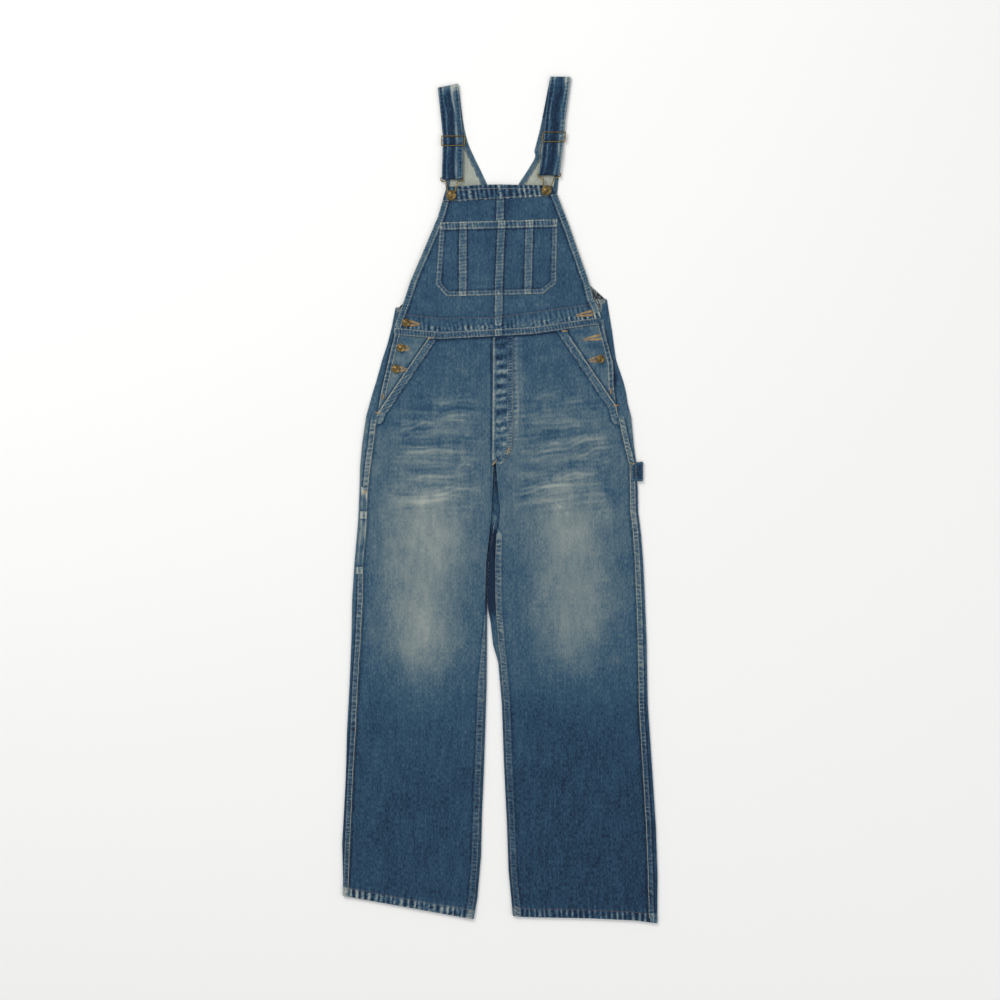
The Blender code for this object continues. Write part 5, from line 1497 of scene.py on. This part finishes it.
def thread_rows(middle, half, height, radius):
    """Rows for thread_mesh: centre, half run, up and radius of each short thread lying on a face."""
    z = height(middle[:, 0], middle[:, 1])[:, None]
    up = np.tile([0.0, 0.0, 1.0], (len(middle), 1))
    return np.concatenate([middle, z, half, up, np.full((len(middle), 1), radius)], axis=1)


def stitches(line, height, pitch=3.2, length=2.5, radius=0.36):
    """Stitches along a line on the page, each sloped like the face under it, a little off the line."""
    line = np.asarray(line, dtype=float)
    gone = gone_along(line)
    place = np.arange(pitch / 2, gone[-1], pitch)
    ends = []
    for shift in (-length / 2, length / 2):
        spot = at_length(line, gone, np.clip(place + shift, 0.0, gone[-1]))
        ends.append(np.column_stack([spot, height(spot[:, 0], spot[:, 1])]))
    half = (ends[1] - ends[0]) / 2
    side = unit(np.stack([-half[:, 1], half[:, 0]], axis=1))
    middle = at_length(line, gone, place)
    rows = thread_rows(middle, half, height, radius)
    rows[:, :2] += side * STITCH_WANDER * wobble(place, 47.0, line[0, 0])[:, None]
    return rows


def tack(centre, degrees, length, width, height, radius=0.34):
    """A bar tack: threads packed side by side across its length."""
    angle = math.radians(degrees)
    along = np.array([math.cos(angle), math.sin(angle)])
    place = np.arange(-length / 2, length / 2, radius * 1.9)
    middle = np.array(centre) + place[:, None] * along
    half = np.tile([-along[1] * width / 2, along[0] * width / 2, 0.0], (len(place), 1))
    return thread_rows(middle, half, height, radius * 1.15)


def buttonhole(start, end, height, radius=0.36):
    """The purl of a buttonhole: threads packed outward round its slot, shorter at its start."""
    start, end = np.array(start), np.array(end)
    length = np.linalg.norm(end - start)
    along = (end - start) / length
    side = np.array([-along[1], along[0]])
    turn = half_turn(-90, 90).T
    round_end = along * np.cos(turn) + side * np.sin(turn)
    far, near = end + 0.9 * round_end, start - 0.3 * round_end
    loop = np.concatenate([far, near, far[:1]])
    gone = gone_along(loop)
    inner = at_length(loop, gone, np.arange(0, gone[-1], radius * 1.4))
    foot = np.clip((inner - start) @ along, 0, length)[:, None]
    out = unit(inner - (start + foot * along))
    place = np.arange(0, gone[-1], radius * 1.4)[:, None]
    reach = 2.0 + 2.4 * ease(foot / length, 0.0, 0.75) + 0.25 * wobble(place, 5.0, 3.0)
    half = np.concatenate([out * reach / 2, np.zeros((len(out), 1))], axis=1)
    return thread_rows(inner + out * reach / 2, half, height, radius * 1.1)


def thread_mesh(name, rows, material):
    """All stitches of one thread as one mesh: low arches of half-round section, their ends in the cloth."""
    rows = np.concatenate(rows)
    centre, half, up, radius = rows[:, 0:3], rows[:, 3:6], rows[:, 6:9], rows[:, 9]
    side = unit(np.cross(half, up))
    arch = [(-1.0, -0.75), (-0.6, 0.2), (0.6, 0.2), (1.0, -0.75)]
    section = [(1.0, -0.5), (0.62, 0.5), (-0.62, 0.5), (-1.0, -0.5)]
    points = np.empty((len(rows), 4, 4, 3))
    for i, (along, lift) in enumerate(arch):
        for j, (across, rise) in enumerate(section):
            points[:, i, j] = centre + half * along + (side * across + up * (rise + lift)) * radius[:, None]
    index = np.arange(len(rows) * 16).reshape(len(rows), 4, 4)
    quads = np.stack([index[:, :-1, :-1], index[:, :-1, 1:], index[:, 1:, 1:], index[:, 1:, :-1]], axis=-1)
    return new_mesh(name, points.reshape(-1, 3), quads.reshape(-1, 4), [material], sharp=80.0)


# The garment

cloths = {
    "back_right_leg": add_back_leg("back_right_leg_cloth", -1, RIGHT_LEG, RIGHT_HIP, RIGHT_HEM),
    "back_left_leg": add_back_leg("back_left_leg_cloth", 1, LEFT_LEG, LEFT_HIP, LEFT_HEM),
    "back_bib": add_back_bib(),
    "front_right_leg": add_front_leg("front_right_leg_cloth", -1, RIGHT_LEG, RIGHT_MOUTH, RIGHT_HEM),
    "front_left_leg": add_front_leg("front_left_leg_cloth", 1, LEFT_LEG, LEFT_MOUTH, LEFT_HEM),
    "hip_facing_right": add_hip_facing("hip_facing_right_cloth", -1, RIGHT_FACING_EDGE, RIGHT_MOUTH),
    "hip_facing_left": add_hip_facing("hip_facing_left_cloth", 1, LEFT_FACING_EDGE, LEFT_MOUTH),
    "side_placket_right": add_side_placket("side_placket_right_cloth", -1, RIGHT_FACING_EDGE, 292.0, 182.0),
    "side_placket_left": add_side_placket("side_placket_left_cloth", 1, LEFT_FACING_EDGE, 308.0, 192.0),
    "bib": add_bib(),
    "bib_top_band": add_bib_top_band(),
    "bib_pocket": add_bib_pocket(),
    "waist_seam": add_waist_seam(),
    "fly_placket": add_fly_placket(),
    "hammer_loop": add_hammer_loop(),
    "tool_pocket": add_tool_pocket(),
    "strap_right": add_strap("strap_right_cloth", RIGHT_STRAP, RIGHT_SLIDER_Y, 31, 3.7, 1.7, 6.8),
    "strap_left": add_strap("strap_left_cloth", LEFT_STRAP, LEFT_SLIDER_Y, 32, 0.0, -4.6, 10.5),
}

# Heights of buttons' seats and caps: on the bib over the hook's ring, on the waist seam, on the facings
ON_BIB_HEM = (7.4, BIB_WIRE_Z + WIRE / 2 + AIR)
ON_WAIST = (5.4, 7.6)
ON_FACING = (4.0, 6.0)
brass = {
    "slider_right": add_slider("slider_right_wire", RIGHT_STRAP, RIGHT_SLIDER_Y),
    "slider_left": add_slider("slider_left_wire", LEFT_STRAP, LEFT_SLIDER_Y),
    "hook_right": add_hook("hook_right_wire", RIGHT_STRAP, RIGHT_BIB_BUTTON),
    "hook_left": add_hook("hook_left_wire", LEFT_STRAP, LEFT_BIB_BUTTON),
}
BUTTONS = {
    "bib_button_right": (RIGHT_BIB_BUTTON, BIB_BUTTON, ON_BIB_HEM),
    "bib_button_left": (LEFT_BIB_BUTTON, BIB_BUTTON, ON_BIB_HEM),
    "waist_button_right": (RIGHT_WAIST_BUTTON, SIDE_BUTTON, ON_WAIST),
    "side_button_right_upper": (RIGHT_SIDE_BUTTON_A, SIDE_BUTTON, ON_FACING),
    "side_button_right_lower": (RIGHT_SIDE_BUTTON_B, SIDE_BUTTON, ON_FACING),
    "side_button_left": (LEFT_SIDE_BUTTON, SIDE_BUTTON, ON_FACING),
}
for node_name, (place, diameter, heights) in BUTTONS.items():
    brass[node_name] = add_button(node_name + "_brass", place, diameter, *heights)
for node_name, piece in cloths.items():
    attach(piece, "root")
    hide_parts(node_name)
for node_name, piece in brass.items():
    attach(piece, "root")
    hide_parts(node_name)


# The sewing, each thread's stitches as one piece

front_right, front_left = FACES["front_right_leg_cloth"], FACES["front_left_leg_cloth"]
bib_top, pocket_top = FACES["bib_cloth"], FACES["bib_pocket_cloth"]
band_top, waist_top, fly_top = FACES["bib_band_cloth"], FACES["waist_seam_cloth"], FACES["fly_placket_cloth"]


def back_top(side):
    """Height of a back panel's top beside its outseam."""
    return lambda x, y: lie(x, y) + CLOTH + band_relief(BACK_BANDS[side], x, y)


def cut_line(line, low, high):
    """The part of a line whose heights on the page lie between two values."""
    line = np.asarray(line, dtype=float)
    gone = gone_along(line)
    fine = at_length(line, gone, np.arange(0.0, gone[-1], 2.0))
    return fine[(fine[:, 1] >= low) & (fine[:, 1] <= high)]


# Heavier stitches than the usual: pitch, length and radius
BOLD = (3.0, 2.8, 0.62)
FULL = (3.0, 2.8, 0.55)
ecru, brown, dark, gold = [], [], [], []

# Bib: top band, side hems, centre seam, and the line where the waist's facing is caught
ecru.append(stitches(offset_line(BIB_BAND_LOW, 2.2), band_top))
ecru.append(stitches(offset_line(BIB_TOP, -6.8), band_top))
for edge in (BIB_RIGHT_EDGE, BIB_LEFT_EDGE[::-1]):
    ecru.append(stitches(cut_line(offset_line(edge, 9.0), 300.0, 522.0), bib_top))
for shift in (-4.9, 4.9):
    brown.append(stitches(cut_line(offset_line(CENTRE_SEAM, shift), 490.0, 524.0), bib_top))
    brown.append(stitches(cut_line(offset_line(CENTRE_SEAM, shift), 314.0, 357.0), bib_top))
brown.append(stitches(WAIST_LINE, bib_top, 3.0, 2.6, 0.42))

# Bib pocket: top hem, edge and the three strips
ecru.append(stitches(offset_line(POCKET_TOP, 11.0)[::-1], pocket_top))
ecru.append(stitches(offset_line(POCKET_TOP, 1.8), pocket_top))
ecru.append(stitches(offset_line(POCKET_EDGE, 1.8), pocket_top))
brown.append(stitches(offset_line(POCKET_EDGE, 7.4), pocket_top))
for strip in pocket_strip_lines():
    for shift in (-5.0, 5.0):
        brown.append(stitches(offset_line(strip, shift), pocket_top))

# Waist seam
waist_x = np.linspace(-183.5, 176.5, 60)
waist_low = np.stack([waist_x, waist_y(waist_x) - 2.0], axis=1)
for shift in (2.0, 8.8):
    brown.append(stitches(offset_line(waist_low, shift), waist_top))

# Front legs: mouths, inseams and hems. Each inseam's two rows come out at their own heights
for face, mouth, inseam, hem, starts in (
        (front_right, RIGHT_MOUTH[::-1], RIGHT_INSEAM_BELOW, RIGHT_HEM, (-300.0, -230.0)),
        (front_left, LEFT_MOUTH, LEFT_INSEAM_BELOW, LEFT_HEM, (-70.0, -64.0))):
    ecru.append(stitches(cut_line(offset_line(mouth, 1.5), 150.0, 284.0), face, *BOLD))
    brown.append(stitches(cut_line(offset_line(mouth, 11.2), 150.0, 280.0), face))
    for across, start in zip((1.6, INSEAM_BAND - 2.2), starts):
        brown.append(stitches(cut_line(offset_line(inseam, across), -725.0, start), face))
    dark.append(stitches(offset_line(hem, HEM_DEPTH - 1.0), face, 3.0, 2.8, 0.5))

# Outseams, on the back panels
for side, outseam, low_end in ((-1, RIGHT_OUTSEAM[::-1], -688.0), (1, LEFT_OUTSEAM[::-1], -733.0)):
    for across, thread, size in ((1.5, ecru, FULL), (FELLED - 1.8, brown, ())):
        line = cut_line(offset_line(outseam, across), low_end, MOUTH_START - 2.0)
        thread.append(stitches(line, back_top(side), *size))

# Fly
fly_inner = np.array([(-11.9, 284.0), (-12.6, 190.0), (-13.2, 104.0), (-13.6, 70.0)])
fly_outer = [(21.4, 286.0), (21.4, 200.0), (21.4, 110.0), (20.6, 96.0), (17.5, 82.0), (11.5, 72.0),
             (2.6, 66.0)]
fly_middle = [(15.2, 286.0), (15.2, 200.0), (15.2, 112.0), (14.6, 100.0), (11.8, 88.0), (6.5, 79.0),
              (-1.6, 73.0)]
ecru.append(stitches(fly_inner + [1.4, 0.0], fly_top, *BOLD))
for curve in (fly_outer, fly_middle):
    dark.append(stitches(smooth_route(curve, 2.0), fly_top, 2.9, 2.4, 0.42))

# Side plackets
for side, edge, name, top_y, end_y in (
        (-1, RIGHT_FACING_EDGE, "side_placket_right_cloth", 288.0, 184.0),
        (1, LEFT_FACING_EDGE, "side_placket_left_cloth", 304.0, 194.0)):
    rows_y = np.linspace(top_y, end_y, 40)
    for across in (2.0, 7.8):
        line_x = column(edge, 1, 0)(rows_y) - side * (PLACKET_INSET + across)
        ecru.append(stitches(np.stack([line_x, rows_y], axis=1), FACES[name]))

# Back bib: the V's hem
v_edge = offset_line(smooth_route(BACK_BIB[:, :2], 4.0), -8.2)
ecru.append(stitches(cut_line(v_edge, 505.0, 668.0), level_at(CLOTH + 1.0)))

# The flaps' top edges by the side openings
for line in ([(184.6, 347.4), (178.2, 342.9)], [(178.4, 341.0), (177.0, 330.0)],
             [(-180.6, 332.4), (-173.0, 327.6)]):
    ecru.append(stitches(line, level_at(FLAP_MID + CLOTH / 2), *FULL))

# Tool pocket and hammer loop
pocket_face = FACES["tool_pocket_cloth"]
loop_face = FACES["hammer_loop_cloth"]
for y in (-20.4, -31.6, -118.6, -127.4):
    x = float(column(RIGHT_LEG, 0, 2)(y))
    ecru.append(stitches([(x - 12.5, y), (x - 1.5, y)], pocket_face))
ecru.append(stitches([(-243.8, 21.4), (-232.6, 12.2)], pocket_face))
for y in (61.0, 36.4):
    ecru.append(stitches([(230.2, y), (241.5, y + 1.2)], loop_face))
for x in (230.6, 237.8):
    ecru.append(stitches([(x, 35.0), (x, 62.5)], loop_face))

# Bar tacks
for place, degrees, length, height in (
        ((-9.5, 66.0), 50.0, 11.0, fly_top), ((14.0, 85.6), 70.0, 11.0, fly_top),
        ((-120.8, 283.5), 0.0, 10.0, front_right), ((-213.0, 152.6), 0.0, 9.0, front_right),
        ((113.5, 295.8), 0.0, 10.0, front_left), ((203.0, 165.5), 0.0, 9.0, front_left),
        ((-204.0, 181.0), 90.0, 10.0, FACES["side_placket_right_cloth"]),
        ((194.0, 191.0), 90.0, 10.0, FACES["side_placket_left_cloth"]),
        ((-236.5, 13.5), 30.0, 8.0, pocket_face), ((232.5, 63.0), 0.0, 8.0, loop_face)):
    gold.append(tack(place, degrees, length, 2.6, height))

# Buttonholes: those that hold a button show as a tail beside it, two on the left are open
facing_left, facing_right = FACES["hip_facing_left_cloth"], FACES["hip_facing_right_cloth"]
for start, end, height in (
        ((-141.5, 307.4), (-160.0, 309.4), waist_top), ((-157.5, 264.0), (-169.0, 266.4), facing_right),
        ((-163.5, 228.4), (-178.0, 229.4), facing_right), ((134.0, 322.5), (161.0, 327.4), bib_top),
        ((147.0, 281.0), (177.0, 285.5), facing_left), ((156.0, 244.0), (168.5, 246.0), facing_left)):
    gold.append(buttonhole(start, end, height))

sewing = {
    "ecru_stitches": (ecru, "ecru"), "brown_stitches": (brown, "brown"), "dark_stitches": (dark, "dark"),
    "gold_tacks": (gold, "gold"),
}
for piece_name, (rows, thread) in sewing.items():
    piece = thread_mesh(piece_name, rows, THREADS[thread])
    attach(piece, "root")


# Stage, light and camera

def make_paper():
    """Matt white background paper with the faintest grain."""
    material, tree, skin = start_material("matt white paper")
    place = node(tree, "ShaderNodeTexCoord").outputs["Object"]
    grain = sums(tree, (speckle(tree, place, 2.0, 2.0), 0.00002))
    tone = sums(tree, (speckle(tree, place, 90.0, 90.0), 0.1), (0.5, 1.0))
    finish_material(tree, skin, ramp(tree, tone, [(0.0, "f4f4f3"), (1.0, "f8f8f7")]), 0.85, grain)
    return material


def area_light(name, place, size, power, tint):
    """A square softbox that faces the middle of the garment."""
    data = bpy.data.lights.new(name, "AREA")
    data.size = size
    data.energy = power
    data.color = tint
    made = bpy.data.objects.new(name, data)
    bpy.context.scene.collection.objects.link(made)
    made.location = place
    x, y, z = place
    made.rotation_euler = (math.atan2(math.hypot(x, y), z), 0.0, math.atan2(-x, y) + math.pi)


# The paper reaches past the picture, just under the cloth
PAPER_HALF = 4000.0
PAPER_Z = -0.2
corners = np.array([(x * PAPER_HALF, y * PAPER_HALF, PAPER_Z)
                    for x, y in ((-1, -1), (1, -1), (1, 1), (-1, 1))])
floor = new_mesh("floor", corners, np.array([[0, 1, 2, 3]]), [make_paper()])
area_light("key", (-1.9, 2.4, 3.0), 2.0, 95.0, (1.0, 0.99, 0.97))
area_light("fill", (2.6, -1.4, 3.4), 3.0, 40.0, (0.97, 0.98, 1.0))
world = bpy.data.worlds.new("studio")
world.use_nodes = True
world.node_tree.nodes["Background"].inputs["Color"].default_value = (1.0, 1.0, 1.0, 1.0)
world.node_tree.nodes["Background"].inputs["Strength"].default_value = 0.55
bpy.context.scene.world = world
bpy.context.scene.view_settings.view_transform = "Standard"

# A long lens straight above, so high that a thousandth of the picture's width is 1.75 mm of cloth
lens = bpy.data.cameras.new("overhead")
lens.lens = 85.0
lens.sensor_width = 36.0
camera = bpy.data.objects.new("overhead", lens)
bpy.context.scene.collection.objects.link(camera)
camera.location = (0.0, 0.0, 4.138)
bpy.context.scene.camera = camera
